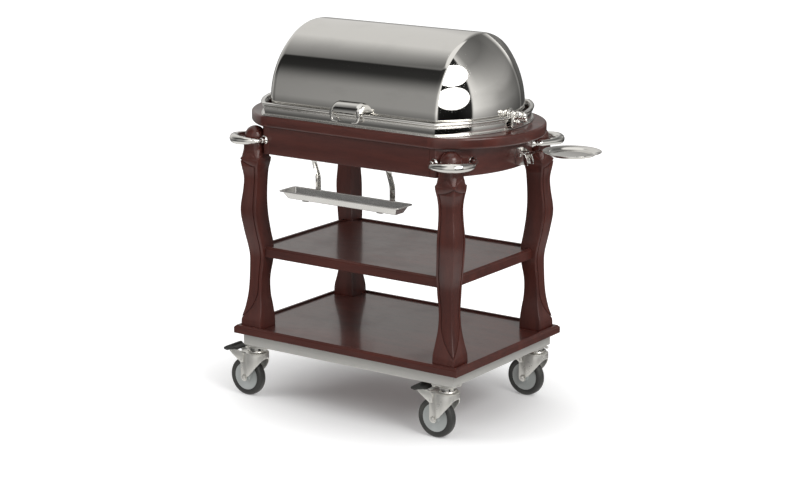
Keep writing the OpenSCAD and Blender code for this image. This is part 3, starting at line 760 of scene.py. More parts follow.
CAP_STEPS = 44
dome = begin("dome_cover", cap_point(1, hole_angle))
sweep = (crease_angle - hole_angle) * 180 / pi
arc((CAP_X, 0, PIVOT.z), (0, 0, -1), sweep, CAP_STEPS)
draw([cap_point(1, crease_angle), cap_point(-1, crease_angle)])
arc((-CAP_X, 0, PIVOT.z), (0, 0, -1), sweep, CAP_STEPS)
pick("VERT", lambda v: abs(abs(v.co.x) - CREASE_X) < 2e-4 and abs(v.co.y + DOME_RADIUS) < 2e-4)
bpy.ops.mesh.bevel(affect="VERTICES", offset=CREASE_ROUND, segments=8)
choose_all()
arc(PIVOT, (-1, 0, 0), 180, 128)
pick("VERT", lambda v: abs(v.co.z - PIVOT.z) < 1e-5)
pull((0, 0, dome_low.z - PIVOT.z))
tidy()
as_object()
apply(dome, "SOLIDIFY", thickness=SHEET, offset=-1.0)
print("dome radius", round(DOME_RADIUS, 3), "cap radius", round(CAP_RADIUS, 3))

# %% [markdown]
# ## Dome bead and bushes
# A wire is soldered along the dome's two long lower edges, to stiffen the sheet and to spare fingers.
# Each cap has a turned bush where the fixed shaft passes through. All of them are round, so each is a
# short profile on the lathe, made once and mirrored.

# %% Dome bead and bushes
BEAD = 3.0
rim_low, rim_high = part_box("dome_rim")
bead_y = (rim_high.y - rim_low.y) / 2 - BEAD * MM
bead_z = (rim_low.z + rim_high.z) / 2
bead_length = 2 * rim_high.x / MM
bead_side = [(0, 0), (0.6, 1.8), (2, BEAD),
             (bead_length - 2, BEAD), (bead_length - 0.6, 1.8), (bead_length, 0)]
bead = turned("bead", bead_side, (-rim_high.x, -bead_y, bead_z), (1, 0, 0), 20)
dome = fuse("dome_cover", dome, bead, flipped(bead, "bead_back", (1, -1, 1)))
deliver(dome, DOME, "polished_dome", "dome", "dome_shell", "dome_rim", smooth=24)

BUSH = [(-10, 8.1), (-10, 14), (0.5, 14), (1, 18), (1.8, 19), (4.2, 19), (5, 18), (5.5, 14), (7.4, 13.4),
        (8, 12.5), (8, 8.1), (-10, 8.1)]
bush = turned("bush", BUSH, (POLE_X, 0, PIVOT.z), (1, 0, 0), 56)
bushes = fuse("dome_bush_rings", bush, flipped(bush, "bush_left", (-1, 1, 1)))
deliver(bushes, FITTINGS, "polished_fittings", "dome", "dome_bushes")

# %% [markdown]
# ## Oval parts
# The apron, the top board and the gallery all follow ovals: two straight sides and two bowed ends that
# meet them at a soft corner. An oval is given as half its width, the radius of the bow and the bow's
# centre, in millimetres, and one tool makes them all. It draws the outer edge and the inner edge of the
# right half - straight, arc, straight - and bridges the two into a flat band, which is then extruded up
# and has its edges rounded. A mirror makes the left half.

# %% Oval bands
def kink(oval):
    """The X of the corner where the straight side meets the bowed end."""
    width, radius, centre = oval
    return centre + sqrt(radius ** 2 - width ** 2)


def half_outline(oval, start_x, z, steps):
    """Draws the right half of an oval: along the front, round the end and back along the rear."""
    width, radius, centre = oval
    corner = kink(oval)
    draw([Vector((start_x, -width, z)) * MM, Vector((corner, -width, z)) * MM])
    bow = 2 * asin(width / radius) * TO_DEGREES
    arc((centre * MM, 0, z * MM), (0, 0, 1), bow, steps)
    draw([Vector((corner, width, z)) * MM, Vector((start_x, width, z)) * MM])


def oval_band(name, outer, inner, low, high, start_x=0.0, steps=64):
    """The right half of an oval ring, in edit mode, from start_x round the bowed end."""
    piece = begin(name, millimetres(start_x, -outer[0], low))
    half_outline(outer, start_x, low, steps)
    as_object()
    lining = begin("lining", millimetres(start_x, -inner[0], low))
    half_outline(inner, start_x, low, steps)
    fuse(name, piece, lining)
    edit(piece)
    choose_all()
    bpy.ops.mesh.bridge_edge_loops()
    choose_all()
    pull((0, 0, (high - low) * MM))
    tidy(1e-7)
    return piece


def smaller(oval, inset):
    """The same oval further in."""
    width, radius, centre = oval
    return (width - inset, radius - inset, centre)


def both_sides(piece, merge):
    """Adds the mirrored left half; with merge, the two halves become one ring."""
    if merge:
        pick("FACE", lambda f: abs(centre_of(f).x) < 1e-5 and abs(f.normal.x) > 0.9)
        bpy.ops.mesh.delete(type="FACE")
    as_object()
    return apply(piece, "MIRROR", use_axis=(True, False, False), use_mirror_merge=merge,
                 merge_threshold=2e-5)


RAIL_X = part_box("apron_long_rails")[1].x / MM
print("oval tools ready; rails reach", RAIL_X)

# %% [markdown]
# ## Apron
# The apron is a belt of wood under the top. Its two long rails are straight boards, and its ends are
# bent to the bow. Rails and ends are separate boards that meet at fine joints, so each is a part of its
# own whose grain runs its own way.

# %% Apron
apron_low, apron_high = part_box("apron_long_rails")
APRON_BOW = 68.2
APRON = (apron_high.y / MM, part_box("apron_ends")[1].x / MM - APRON_BOW, APRON_BOW)
APRON_THICK = 14.0
apron_z = (apron_low.z / MM, apron_high.z / MM)
ends = oval_band("apron_bowed_ends", APRON, smaller(APRON, APRON_THICK), *apron_z, start_x=RAIL_X)
soften(1.6 * MM, 3)
both_sides(ends, merge=False)
deliver(ends, WOOD["y"], "mahogany", "table", "apron_ends")


def rail_section(outer, inner, heights):
    """The four corners of a front rail's left end."""
    low, high = heights
    corners = [(outer, low), (outer, high), (inner, high), (inner, low)]
    return [millimetres(-RAIL_X, -y, z) for y, z in corners]


rail = outline("apron_rails", rail_section(APRON[0], APRON[0] - APRON_THICK, apron_z))
pull((2 * RAIL_X * MM, 0, 0))
soften(1.6 * MM, 3, test=lambda edge: span_of(edge).x > 0.1)
tidy()
as_object()
apply(rail, "MIRROR", use_axis=(False, True, False), use_mirror_merge=False)
deliver(rail, WOOD["x"], "mahogany", "table", "apron_long_rails")

# %% [markdown]
# ## Top board
# The top board overhangs the apron: narrow along the sides and wide round the ends, with a softly
# rounded edge. Only the outer edge is rounded. A bevel on every sharp edge would also open the joints
# between the boards, so the edges are chosen by where they lie.

# %% Top board
board_low, board_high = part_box("top_long_rails")
ends_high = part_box("top_ends")[1]
BOARD_BOW = 191.9
GALLERY_BOW = 72.3
BOARD = (ends_high.y / MM, ends_high.x / MM - BOARD_BOW, BOARD_BOW)
RIM = (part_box("gallery")[1].y / MM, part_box("gallery")[1].x / MM - GALLERY_BOW, GALLERY_BOW)
OPENING = smaller(RIM, 19.6)
board_z = (board_low.z / MM, board_high.z / MM)
EDGE_ROUND = 7 * MM


def on_outer_edge(edge):
    """Edges along the outside of the board, top and bottom, but not those at the joints."""
    middle = centre_of(edge)
    along_rail = abs(middle.x) < RAIL_X * MM + 1e-5 and span_of(edge).x < 1e-5
    level = span_of(edge).z < 1e-6
    radial = Vector((max(abs(middle.x) - BOARD_BOW * MM, 0), middle.y)).length
    outside = radial > (BOARD[1] - 2) * MM or abs(middle.y) > (BOARD[0] - 1) * MM
    return level and not along_rail and outside


ends = oval_band("top_board_ends", BOARD, OPENING, *board_z, start_x=RAIL_X)
soften(EDGE_ROUND, 5, test=on_outer_edge)
both_sides(ends, merge=False)
deliver(ends, WOOD["y"], "mahogany", "table", "top_ends")

rail = outline("top_board_rails", rail_section(BOARD[0], OPENING[0], board_z))
pull((2 * RAIL_X * MM, 0, 0))
soften(EDGE_ROUND, 5, test=lambda edge: span_of(edge).x > 0.1
       and centre_of(edge).y < -(BOARD[0] - 1) * MM)
tidy()
as_object()
apply(rail, "MIRROR", use_axis=(False, True, False), use_mirror_merge=False)
deliver(rail, WOOD["x"], "mahogany", "table", "top_long_rails")

# %% [markdown]
# ## Gallery
# The gallery is the metal moulding that stands on the board and that the dome closes onto. From below
# it has a rounded flange, a plain hollow wall, a fine bead, a quirk and a round main bead on top. Each
# is an oval band of its own width, stacked on the last, and rounding its edges to half of its height
# turns a flat band into a bead.

# %% Gallery moulding
deck = board_z[1]
rim_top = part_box("gallery")[1].z / MM
INNER = smaller(RIM, 14.6)
# Each band: how far its face is set in, its lower and upper height, and how much its edges are rounded.
GALLERY_BANDS = [
    (0.0, deck, deck + 3.2, 1.5), (2.2, deck + 3.2, deck + 6.0, 1.3),
    (8.0, deck + 5.0, rim_top - 15.0, 0.4), (4.6, rim_top - 16.4, rim_top - 13.4, 1.4),
    (3.0, rim_top - 13.4, rim_top - 10.0, 1.6), (5.4, rim_top - 10.0, rim_top - 7.6, 0.8),
    (0.0, rim_top - 8.0, rim_top, 3.9)]
bands = []
for number, (inset, low, high, rounding) in enumerate(GALLERY_BANDS):
    band = oval_band("band_" + str(number), smaller(RIM, inset), INNER, low, high, steps=72)
    both_sides(band, merge=True)
    edit(band)
    soften(rounding * MM, 4, 50, lambda edge: span_of(edge).z < 1e-6)
    tidy()
    as_object()
    bands.append(band)
deliver(fuse("gallery_moulding", *bands), GALLERY, "polished_gallery", "table", "gallery", smooth=40)

# %% [markdown]
# ## Leg post
# Each leg is sawn from a square post. The outer faces swell at the knee and the foot, and the inner
# faces answer them, so the post seems to sway outwards and back. A joiner marks the two curves on the
# post and saws along them. Here a square face is extruded upwards in steps, and each step is moved
# along the leg's diagonal and resized to the curves, so both pairs of faces come out together.

# %% Leg post
leg_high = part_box("leg_back_right")[1]
LEG = (367.0, -246.0)
HALF = 35.0
FOOT_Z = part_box("leg_back_right")[0].z / MM
SHOULDER_Z = 778.0
OUTER_SWAY = [(232, -4), (262, -3), (300, 6), (356, 14), (440, 17.6), (478, 16.6), (553, 5), (614, -1.5),
              (684, 5.5), (719, 7), (SHOULDER_Z, 0)]
INNER_SWAY = [(232, 4), (262, 3.5), (300, 0), (335, -4.3), (375, -5.7), (405, -4), (450, 2), (500, 3),
              (540, -2), (600, -8), (660, -9.6), (740, -6), (SHOULDER_Z, 0)]


def along(line, z):
    """The offset at height z on a smooth curve through the points of a line."""
    for i in range(len(line) - 1):
        (z0, a), (z1, b) = line[i], line[i + 1]
        if z <= z1:
            break
    run = z1 - z0
    slope_in = 0 if i == 0 else (b - line[i - 1][1]) / (z1 - line[i - 1][0])
    slope_out = 0 if i == len(line) - 2 else (line[i + 2][1] - a) / (line[i + 2][0] - z0)
    t = (z - z0) / run
    return (a * (2 * t ** 3 - 3 * t ** 2 + 1) + slope_in * run * (t ** 3 - 2 * t ** 2 + t)
            + b * (3 * t ** 2 - 2 * t ** 3) + slope_out * run * (t ** 3 - t ** 2))


def faces_at(z):
    """How far the outer and inner faces stand from the leg's axis at height z."""
    return HALF - along(OUTER_SWAY, z), -HALF - along(INNER_SWAY, z)


STEP_Z = 8.0
steps_up = int((SHOULDER_Z - FOOT_Z) / STEP_Z)


def post(name, spare=0.0):
    """The swaying post; spare adds a layer to its inner faces."""
    def section(z):
        outer, inner = faces_at(z)
        inner -= spare
        return (outer + inner) / 2, outer - inner

    lean, wide = section(FOOT_Z)
    bpy.ops.object.select_all(action="DESELECT")
    foot = millimetres(LEG[0] + lean, LEG[1] - lean, FOOT_Z)
    bpy.ops.mesh.primitive_plane_add(size=wide * MM, location=foot)
    piece = bpy.context.object
    piece.name = name
    bpy.ops.object.transform_apply(location=True)
    bpy.ops.object.mode_set(mode="EDIT")
    choose_all()
    for step in range(1, steps_up + 1):
        z = FOOT_Z + (SHOULDER_Z - FOOT_Z) * step / steps_up
        next_lean, next_wide = section(z)
        pull(millimetres(next_lean - lean, lean - next_lean, (SHOULDER_Z - FOOT_Z) / steps_up))
        grow = next_wide / wide
        bpy.ops.transform.resize(value=(grow, grow, 1),
                                 center_override=millimetres(LEG[0] + next_lean, LEG[1] - next_lean, z))
        lean, wide = next_lean, next_wide
    choose_all()
    bpy.ops.mesh.fill_holes(sides=4)
    tidy()
    as_object()
    return piece


leg = post("leg_body")
edit(leg)
soften(3.0 * MM, 3, 60, lambda edge: span_of(edge).z > 2 * MM)
as_object()
print("leg post", len(leg.data.polygons), "faces")

# %% [markdown]
# ## Routed grooves
# A router runs a fine groove round the two outer faces: a shallow arc under the shoulder, a line down
# beside the inner edge and a pointed curve at the foot. The faces sway, and the groove has to stay the
# same depth all the way. So the groove's line is drawn out into a curtain as wide as the cutter, the
# part of it that lies deeper than the groove is cut away with a copy of the post, and what is left
# is cut out of the leg.

# %% Routed grooves
GROOVE = 4.2
GROOVE_DEPTH = 2.8
BORDER = 11.0
TIP_Z, CURVE_TOP_Z = 262.0, 362.0
ARC_Z, ARC_DROP = 775.0, 19.0


def groove_line():
    """Points (distance in from the corner edge, height) of the groove on one outer face."""
    def full(z):
        outer, inner = faces_at(z)
        return outer - inner - BORDER

    top = full(ARC_Z - ARC_DROP)
    line = [(-6, ARC_Z + 4)]
    for share in [i / 10 for i in range(11)]:
        line.append((top * share, ARC_Z - ARC_DROP * (1 - (1 - share) ** 1.6)))
    line += [(full(z), z) for z in range(740, int(CURVE_TOP_Z), -14)]
    for share in [1 - i / 14 for i in range(15)]:
        inward = full(CURVE_TOP_Z) * (1 - (1 - share) ** 2.4)
        line.append((inward, TIP_Z + (CURVE_TOP_Z - TIP_Z) * share))
    return line + [(-6, TIP_Z - 7)]


def on_face(face, across, out, z):
    """A place on the front face or the end face: across it from the leg's axis, and out from the axis."""
    x, y = (across, -out) if face == "front" else (out, -across)
    return millimetres(LEG[0] + x, LEG[1] + y, z)


core = post("leg_core", spare=8.0)
CURTAIN_OUT, CURTAIN = HALF + 14, 45
# Each face, the way into the leg, and a hair's breadth aside that keeps the copy off the leg's own faces.
FACES = [("front", Vector((0, 1, 0)), (0.05, 0, 0)), ("end", Vector((-1, 0, 0)), (0, -0.05, 0))]
for face, into_leg, aside in FACES:
    curtain = [on_face(face, faces_at(z)[0] - inward, CURTAIN_OUT, z) for inward, z in groove_line()]
    router = begin("router", curtain[0])
    draw(curtain)
    choose_all()
    pull(into_leg * CURTAIN * MM)
    tidy()
    as_object()
    apply(router, "SOLIDIFY", thickness=GROOVE * MM, offset=0.0, use_even_offset=True)
    cut(router, moved(core, "kept_core", into_leg * GROOVE_DEPTH * MM + millimetres(*aside)))
    cut(leg, router)
bpy.data.objects.remove(core)
print("grooved leg", len(leg.data.polygons), "faces")

# %% [markdown]
# ## Shoulder, neck and ball
# On the real leg the square top is put in the lathe. Turning a square leaves flat faces with an arc at
# the shoulder, then a neck that is still half square, and at the top a full ball. The same happens
# here: square blocks are extruded, and each is intersected with a turned solid. The apron then passes
# in front of the neck, so its outline is cut away from the neck and the ball.

# %% Shoulder, neck and ball
leg_axis = millimetres(LEG[0], LEG[1], 0)
turning_base = leg_axis + millimetres(0, 0, SHOULDER_Z)


def square_block(name, half, low, high):
    """A square block about the leg's axis, left in edit mode."""
    corners = [(LEG[0] + a * half, LEG[1] + b * half) for a, b in [(-1, -1), (1, -1), (1, 1), (-1, 1)]]
    piece = outline(name, [millimetres(x, y, low) for x, y in corners])
    pull((0, 0, (high - low) * MM))
    tidy()
    return piece


SHOULDER_TURN = [(-9, 0), (-9, 53), (0, 49.2), (4, 44.8), (8, 41.0), (12, 38.0), (17, 35.2), (22, 33.6),
                 (22, 0)]
shoulder = square_block("shoulder", HALF, SHOULDER_Z - 1, SHOULDER_Z + 22)
soften(2.0 * MM, 3, 60, lambda edge: span_of(edge).z > 2 * MM)
as_object()
cut(shoulder, turned("cone", SHOULDER_TURN, turning_base, (0, 0, 1), 64), "INTERSECT")

NECK_TOP = 846.0
NECK_TURN = [(0, 0), (0, 44), (8, 42.5), (16, 40.8), (22, 39.0), (28, 37.4), (34, 36.6), (90, 36.2),
             (90, 0)]
neck_half = 33.2
neck = square_block("neck", neck_half, SHOULDER_Z + 4, SHOULDER_Z + 14)
for climb, next_half in ((7, 32.4), (6, 32.2), (7, 32.0), (NECK_TOP - SHOULDER_Z - 34, 31.8)):
    pick("FACE", lambda f: f.normal.z > 0.9)
    pull((0, 0, climb * MM))
    taper = next_half / neck_half
    bpy.ops.transform.resize(value=(taper, taper, 1), center_override=leg_axis)
    neck_half = next_half
as_object()
cut(neck, turned("cone", NECK_TURN, turning_base, (0, 0, 1), 64), "INTERSECT")

BALL = 32.5
BALL_Z = leg_high.z / MM - BALL
ball_curve = [(BALL * sin(radians(a)), BALL * cos(radians(a))) for a in range(-43, 91, 7)]
ball = turned("ball", [(-BALL * 0.80, 0), (-BALL * 0.80, 24.0), *ball_curve, (BALL, 0)],
              leg_axis + millimetres(0, 0, BALL_Z), (0, 0, 1), 64)

PLAY, SCRIBE_X = 0.2, 200
scribe_oval = smaller(APRON, -PLAY)
scribe_z = apron_z[0] - PLAY
scribe = begin("scribe", millimetres(SCRIBE_X, -scribe_oval[0], scribe_z))
half_outline(scribe_oval, SCRIBE_X, scribe_z, 48)
choose_all()
bpy.ops.mesh.edge_face_add()
pull((0, 0, 120 * MM))
tidy()
as_object()
cut(neck, scribe, keep=True)
cut(ball, scribe)
leg = fuse("leg_front_right_post", leg, shoulder, neck, ball)
break_edges(leg, 0.5, 2, 50)
print("leg", len(leg.data.polygons), "faces", [round(v, 4) for v in leg.dimensions])

# %% [markdown]
# ## Four legs
# The legs at the four corners are the same leg in a mirror. A mirrored mesh is inside out, so `flipped`
# turns its faces round again.

# %% Four legs
corner_flips = {"front_left": (-1, 1, 1), "back_left": (-1, -1, 1), "back_right": (1, -1, 1)}
for corner, flip in corner_flips.items():
    deliver(flipped(leg, "leg_" + corner + "_post", flip), WOOD["z"], "mahogany", "table", "leg_" + corner)
deliver(leg, WOOD["z"], "mahogany", "table", "leg_front_right")

# %% [markdown]
# ## Shelves and base
# Each shelf is a flat panel inside a frame of moulding: a plain fascia, a small bevelled shoulder, a
# step and a flat lip. The profile is drawn once as a closed outline and extruded along the side. At the
# base the four lengths are mitred with a bisect at 45 degrees; at the middle shelf they butt against
# the legs.

# %% Mouldings
LIP = 14.0
STEP = 6.0


def moulding_profile(height):
    """(distance in from the edge, height) of the moulding, drawn from its lower outer corner."""
    return [(0, 0.8), (0.8, 0), (LIP, 0), (LIP, height + STEP - 1), (LIP - 1, height + STEP),
            (6.6, height + STEP), (5.8, height + STEP - 0.5), (4.2, height + 3.2), (3.4, height + 2.6),
            (0.9, height + 0.2), (0, height - 1.2)]


def side_bar(name, profile, half_length, edge_y, low_z, mitre):
    """A bar of a profile along the front edge, with both ends mitred at 45 degrees or cut square."""
    piece = outline(name, [millimetres(-half_length, -edge_y + inset, low_z + z) for inset, z in profile])
    pull((2 * half_length * MM, 0, 0))
    tidy()
    if mitre:
        for side in (-1, 1):
            choose_all()
            corner = millimetres(side * half_length, -edge_y, 0)
            bpy.ops.mesh.bisect(plane_co=corner, plane_no=(-side, -1, 0), use_fill=True, clear_inner=True)
        tidy()
    as_object()
    return piece


def turned_bar(piece):
    """Turns a front bar a quarter turn, so that it lies along the right end."""
    edit(piece)
    choose_all()
    bpy.ops.transform.rotate(value=pi / 2, orient_axis="Z", center_override=(0, 0, 0))
    as_object()
    return piece


def frame_of_bars(name, profile, size_x, size_y, low_z, mitre, bar_x=None, bar_y=None):
    """Four bars round a board of half sizes size_x and size_y; bar_x and bar_y make them shorter."""
    front = side_bar(name, profile, bar_x or size_x, size_y, low_z, mitre)
    end = turned_bar(side_bar(name + "_end", profile, bar_y or size_y, size_x, low_z, mitre))
    back = flipped(front, name + "_back", (1, -1, 1))
    far = flipped(end, name + "_far", (-1, 1, 1))
    return fuse(name, front, end, back, far)


BASE_HEIGHT, SHELF_HEIGHT = 20, 27
base_low, base_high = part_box("bottom_edging")
BASE = (base_high.x / MM, base_high.y / MM)
base_z = base_low.z / MM
base_edge = frame_of_bars("base_moulding", moulding_profile(BASE_HEIGHT), *BASE, base_z, mitre=True)
deliver(base_edge, WOOD["x"], "mahogany", "table", "bottom_edging")

shelf_low, shelf_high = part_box("middle_edging")
SHELF = (shelf_high.x / MM, shelf_high.y / MM)
shelf_z = shelf_low.z / MM
LEG_GAP = 1.5
shelf_edge = frame_of_bars("shelf_moulding", moulding_profile(SHELF_HEIGHT), *SHELF, shelf_z, mitre=False,
                           bar_x=LEG[0] - HALF - LEG_GAP, bar_y=-LEG[1] - HALF - LEG_GAP)
deliver(shelf_edge, WOOD["x"], "mahogany", "table", "middle_edging")

# %% [markdown]
# ## Sub-frame
# The table stands on a welded frame of brushed rectangular tube, whose long edges are softly rounded,
# as drawn tube is, so they catch a bright line along the bottom. The tubes are bars of a profile like
# the mouldings, and they meet at a mitre, where a welder would leave a fine ground seam.

# %% Tube frame
tube_low, tube_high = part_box("frame_long_tubes")
FRAME = (tube_high.x / MM, tube_high.y / MM)
TUBE_W, TUBE_H, TUBE_ROUND = 30.0, (tube_high.z - tube_low.z) / MM, 4.0


def rounded_rectangle(width, height, radius, steps=4):
    """Corner points (inset, height) of a rectangle with rounded corners."""
    corners = [(radius, radius, 180), (width - radius, radius, 270), (width - radius, height - radius, 0),
               (radius, height - radius, 90)]
    points = []
    for x, z, start in corners:
        for angle in [radians(start + 90 * i / steps) for i in range(steps + 1)]:
            points.append((x + radius * cos(angle), z + radius * sin(angle)))
    return points


tube = rounded_rectangle(TUBE_W, TUBE_H, TUBE_ROUND)
long_bar = side_bar("long_tubes", tube, FRAME[0], FRAME[1], tube_low.z / MM, mitre=True)
long_bars = fuse("long_tubes", long_bar, flipped(long_bar, "long_back", (1, -1, 1)))
deliver(long_bars, FRAME_X, "brushed_frame", "table", "frame_long_tubes", smooth=40)
end_bar = turned_bar(side_bar("end_tubes", tube, FRAME[1], FRAME[0], tube_low.z / MM, mitre=True))
end_bars = fuse("end_tubes", end_bar, flipped(end_bar, "end_far", (-1, 1, 1)))
deliver(end_bars, FRAME_Y, "brushed_frame", "table", "frame_end_tubes", smooth=40)

# %% [markdown]
# ## Castor fork
# The fork of each castor is pressed from one sheet of steel. Behind the swivel it is two flat straps
# that drop to the axle; in front it wraps round the swivel as half a drum, whose lower edge sweeps up
# from the axle to the nose. The drum's plan is drawn, pulled up into a wall, thickened, and trimmed to
# its side view with a solid of that outline. The whole castor is modelled once, about a swivel axis at
# the origin, and copied to the four corners at the end.

# %% Fork
CASTORS = {"fl": (-1, -1), "fr": (1, -1), "bl": (-1, 1), "br": (1, 1)}
swivel = JOINTS["swivel_fr"]["pos_m"]
roll = JOINTS["roll_fr"]["pos_m"]
CASTOR = (swivel[0] / MM, -swivel[1] / MM)
AXLE_X, AXLE_Z = (roll[0] - swivel[0]) / MM, roll[2] / MM
STRAP_Y, DRUM, SHEET_T = 23.0, 37.5, 3.0
CROWN_Z, CROWN_T = 148.5, 4.5
FOOT_R = 14
STRAP_BACK, STRAP_FRONT = AXLE_X - FOOT_R, AXLE_X + FOOT_R
crease_x = -sqrt(DRUM ** 2 - STRAP_Y ** 2)
drum_turn = 2 * (pi - asin(STRAP_Y / DRUM)) * TO_DEGREES


def drum_plan(z):
    """Draws the fork's plan from the back of one strap, round the drum, to the back of the other."""
    piece = begin("drum", millimetres(STRAP_BACK, -STRAP_Y, z))
    draw([millimetres(STRAP_BACK, -STRAP_Y, z), millimetres(crease_x, -STRAP_Y, z)])
    arc((0, 0, z * MM), (0, 0, 1), drum_turn, 40)
    draw([millimetres(crease_x, STRAP_Y, z), millimetres(STRAP_BACK, STRAP_Y, z)])
    return piece


wall_z = AXLE_Z - 20
fork = drum_plan(wall_z)
choose_all()
pull((0, 0, (CROWN_Z - 1 - wall_z) * MM))
tidy()
as_object()
apply(fork, "SOLIDIFY", thickness=SHEET_T * MM, offset=-1.0, use_even_offset=True)
above = CROWN_Z + 5
side_view = [(STRAP_BACK, above), (STRAP_BACK, AXLE_Z)]
for angle in range(200, 341, 20):
    side_view.append((AXLE_X + FOOT_R * cos(radians(angle)), AXLE_Z + FOOT_R * sin(radians(angle))))
side_view += [(STRAP_FRONT + 1, AXLE_Z + 3), (-8, 75), (7, 91), (20, 108), (31, 125), (38, 134), (46, 139),
              (46, above)]
TRIM_HALF = 60
trim = outline("trim", [millimetres(x, -TRIM_HALF, z) for x, z in side_view])
pull(millimetres(0, 2 * TRIM_HALF, 0))
tidy()
as_object()
cut(fork, trim, "INTERSECT")

crown = drum_plan(CROWN_Z - CROWN_T)
choose_all()
bpy.ops.mesh.edge_face_add()
pull((0, 0, CROWN_T * MM))
tidy()
soften(2.6 * MM, 4, 60, lambda edge: centre_of(edge).z > (CROWN_Z - 1) * MM)
as_object()
fork = fuse("fork", fork, crown)
break_edges(fork, 0.5, 2, 50)
print("fork", len(fork.data.polygons), "faces")

# %% [markdown]
# ## Axle, nuts and swivel ring
# The wheel turns on a bolt whose two nuts show outside the fork. Between the fork and the plate above
# it lies the round cover of the swivel's balls. Bolt heads, nuts and rivets are all short turned
# parts with a softened rim, and six steps of the spin instead of many make a nut.

# %% Axle, nuts and swivel ring
def stud(name, base, direction, radius, height, sides=32):
    """A low round or hexagonal head with a softened rim."""
    profile = [(0, radius * 0.98), (0.3, radius), (height - radius * 0.22, radius), (height, radius * 0.74),
               (height, 0)]
    return turned(name, profile, millimetres(*base), direction, sides)


heads = []
for side in (-1, 1):
    heads.append(stud("nut", (AXLE_X, side * STRAP_Y, AXLE_Z), (0, side, 0), 8.6, 5.0, 6))
    heads.append(stud("axle_end", (AXLE_X, side * (STRAP_Y + 4.6), AXLE_Z), (0, side, 0), 4.6, 2.2, 24))
axle_length = 2 * STRAP_Y - 2
axle = turned("axle", [(0, 0), (0, 6), (axle_length, 6), (axle_length, 0)],
              millimetres(AXLE_X, 1 - STRAP_Y, AXLE_Z), (0, 1, 0), 32)
fork = fuse("fork", fork, *heads, axle)

RING = [(0, 0), (0, 24), (0.6, 26.6), (2.2, 29.5), (4.4, 30.6), (6.6, 29.8), (7.6, 27.2), (8.0, 25.2),
        (10.4, 25.0), (17.4, 25.2), (17.4, 0)]
ring = turned("ring", RING, millimetres(0, 0, CROWN_Z), (0, 0, 1), 56)
rings = [moved(ring, "ring_" + corner, millimetres(sx * CASTOR[0], sy * CASTOR[1], 0))
         for corner, (sx, sy) in CASTORS.items()]
bpy.data.objects.remove(ring)
deliver(fuse("castor_swivel_rings", *rings), FITTINGS, "zinc_castor", "table", "castor_races")

# %% [markdown]
# ## Wheel and tyre
# The wheel centre is moulded plastic with a boss round the axle and a thin dished web. The solid tyre
# bulges a little beyond it and has a flat crown that rolls. Both are lathe work: half of each profile
# is written out, and its mirror closes the loop that is spun round the axle.

# %% Wheel and tyre
WHEEL_R, HUB_R, TREAD = AXLE_Z, 44.0, 15.0
WHEEL_MIDDLE = millimetres(AXLE_X, 0, AXLE_Z)


def wheel_part(name, half_profile, steps):
    """A ring about the axle, from (half width, radius) points on one side; one at width 0 isn't doubled."""
    mirrored = [(half_width, radius) for half_width, radius in reversed(half_profile) if half_width > 0]
    profile = [(-half_width, radius) for half_width, radius in half_profile] + mirrored
    return turned(name, profile + profile[:1], WHEEL_MIDDLE, (0, 1, 0), steps)


half_hub = [(19.3, 7.0), (19.3, 13.0), (15.5, 14.5), (11.6, 17), (11.2, 38.5), (12.2, 42.5), (12.2, HUB_R)]
half_tyre = [(11.9, HUB_R), (13.0, HUB_R + 0.8), (14.6, 48.5), (TREAD, 52.5), (14.4, 56.5), (12.4, 59.8),
             (9.2, 61.7), (5.0, 62.4), (0, WHEEL_R)]
hub = wheel_part("hub", half_hub, 72)
tyre = wheel_part("tyre", half_tyre, 96)
print("wheel radius", round(WHEEL_R, 2), "mm")

# %% [markdown]
# ## Brake pedal
# Two pressed cheeks hang from rivets at the back of the fork, a bridge joins them, and a black tread
# with five ribs caps them. Each is a side view drawn as an outline and pulled across, because pressed
# and moulded parts like these are the same all the way through.

# %% Brake pedal
pivot = JOINTS["brake_fr"]["pos_m"]
pedal_x, pedal_z = pivot[0] / MM - CASTOR[0], pivot[2] / MM
CHEEK_Y, CHEEK_T = 23.4, 2.6
CHEEK_SIDE = [(pedal_x + 7, pedal_z - 7), (pedal_x - 2, pedal_z - 9.5), (-68, 124), (-82, 133), (-93, 142),
              (-95, 148), (-90, 151.5), (-66, 152.5), (-44, 146), (-38, 138), (-38, 124)]
BRIDGE_SIDE = [(-91, 148), (-66, 149.5), (-66, 151.5), (-91, 150.5)]
TREAD_SIDE = [(-117.5, 146.5), (-115, 143.2), (-104, 141.5), (-90, 146), (-72, 150.5), (-62, 150),
              (-58, 153), (-66, 157), (-80, 158.2), (-84, 163), (-89, 163.6), (-98, 160), (-108, 155.5),
              (-116, 151)]
RIB_SIDE = [(-1.3, -3), (1.3, -3), (1.0, 1.8), (-1.0, 1.3)]
RIB_START, RIB_STEP = (-91, 161.6), (-5.2, -2.35)
RIVETS = [(pedal_x, pedal_z, 3.8), (-62, 149, 3.0), (-86, 144, 2.0)]


def pulled_across(name, side_view, from_y, width, rounding=None):
    """A solid of one side view, from_y to from_y + width, with its edges rounded if rounding is given."""
    piece = outline(name, [millimetres(x, from_y, z) for x, z in side_view])
    pull(millimetres(0, width, 0))
    tidy()
    if rounding:
        soften(rounding[0] * MM, *rounding[1:])
    as_object()
    return piece


cheeks = []
for side in (-1, 1):
    cheeks.append(pulled_across("cheek", CHEEK_SIDE, side * CHEEK_Y, side * CHEEK_T, (0.7, 2, 60)))
    rivet_y = side * (CHEEK_Y + CHEEK_T - 0.2)
    for x, z, radius in RIVETS:
        cheeks.append(stud("rivet", (x, rivet_y, z), (0, side, 0), radius, 1.6, 20))
bridge = pulled_across("bridge", BRIDGE_SIDE, -24, 48)
cheeks = fuse("brake_cheeks", *cheeks, bridge)

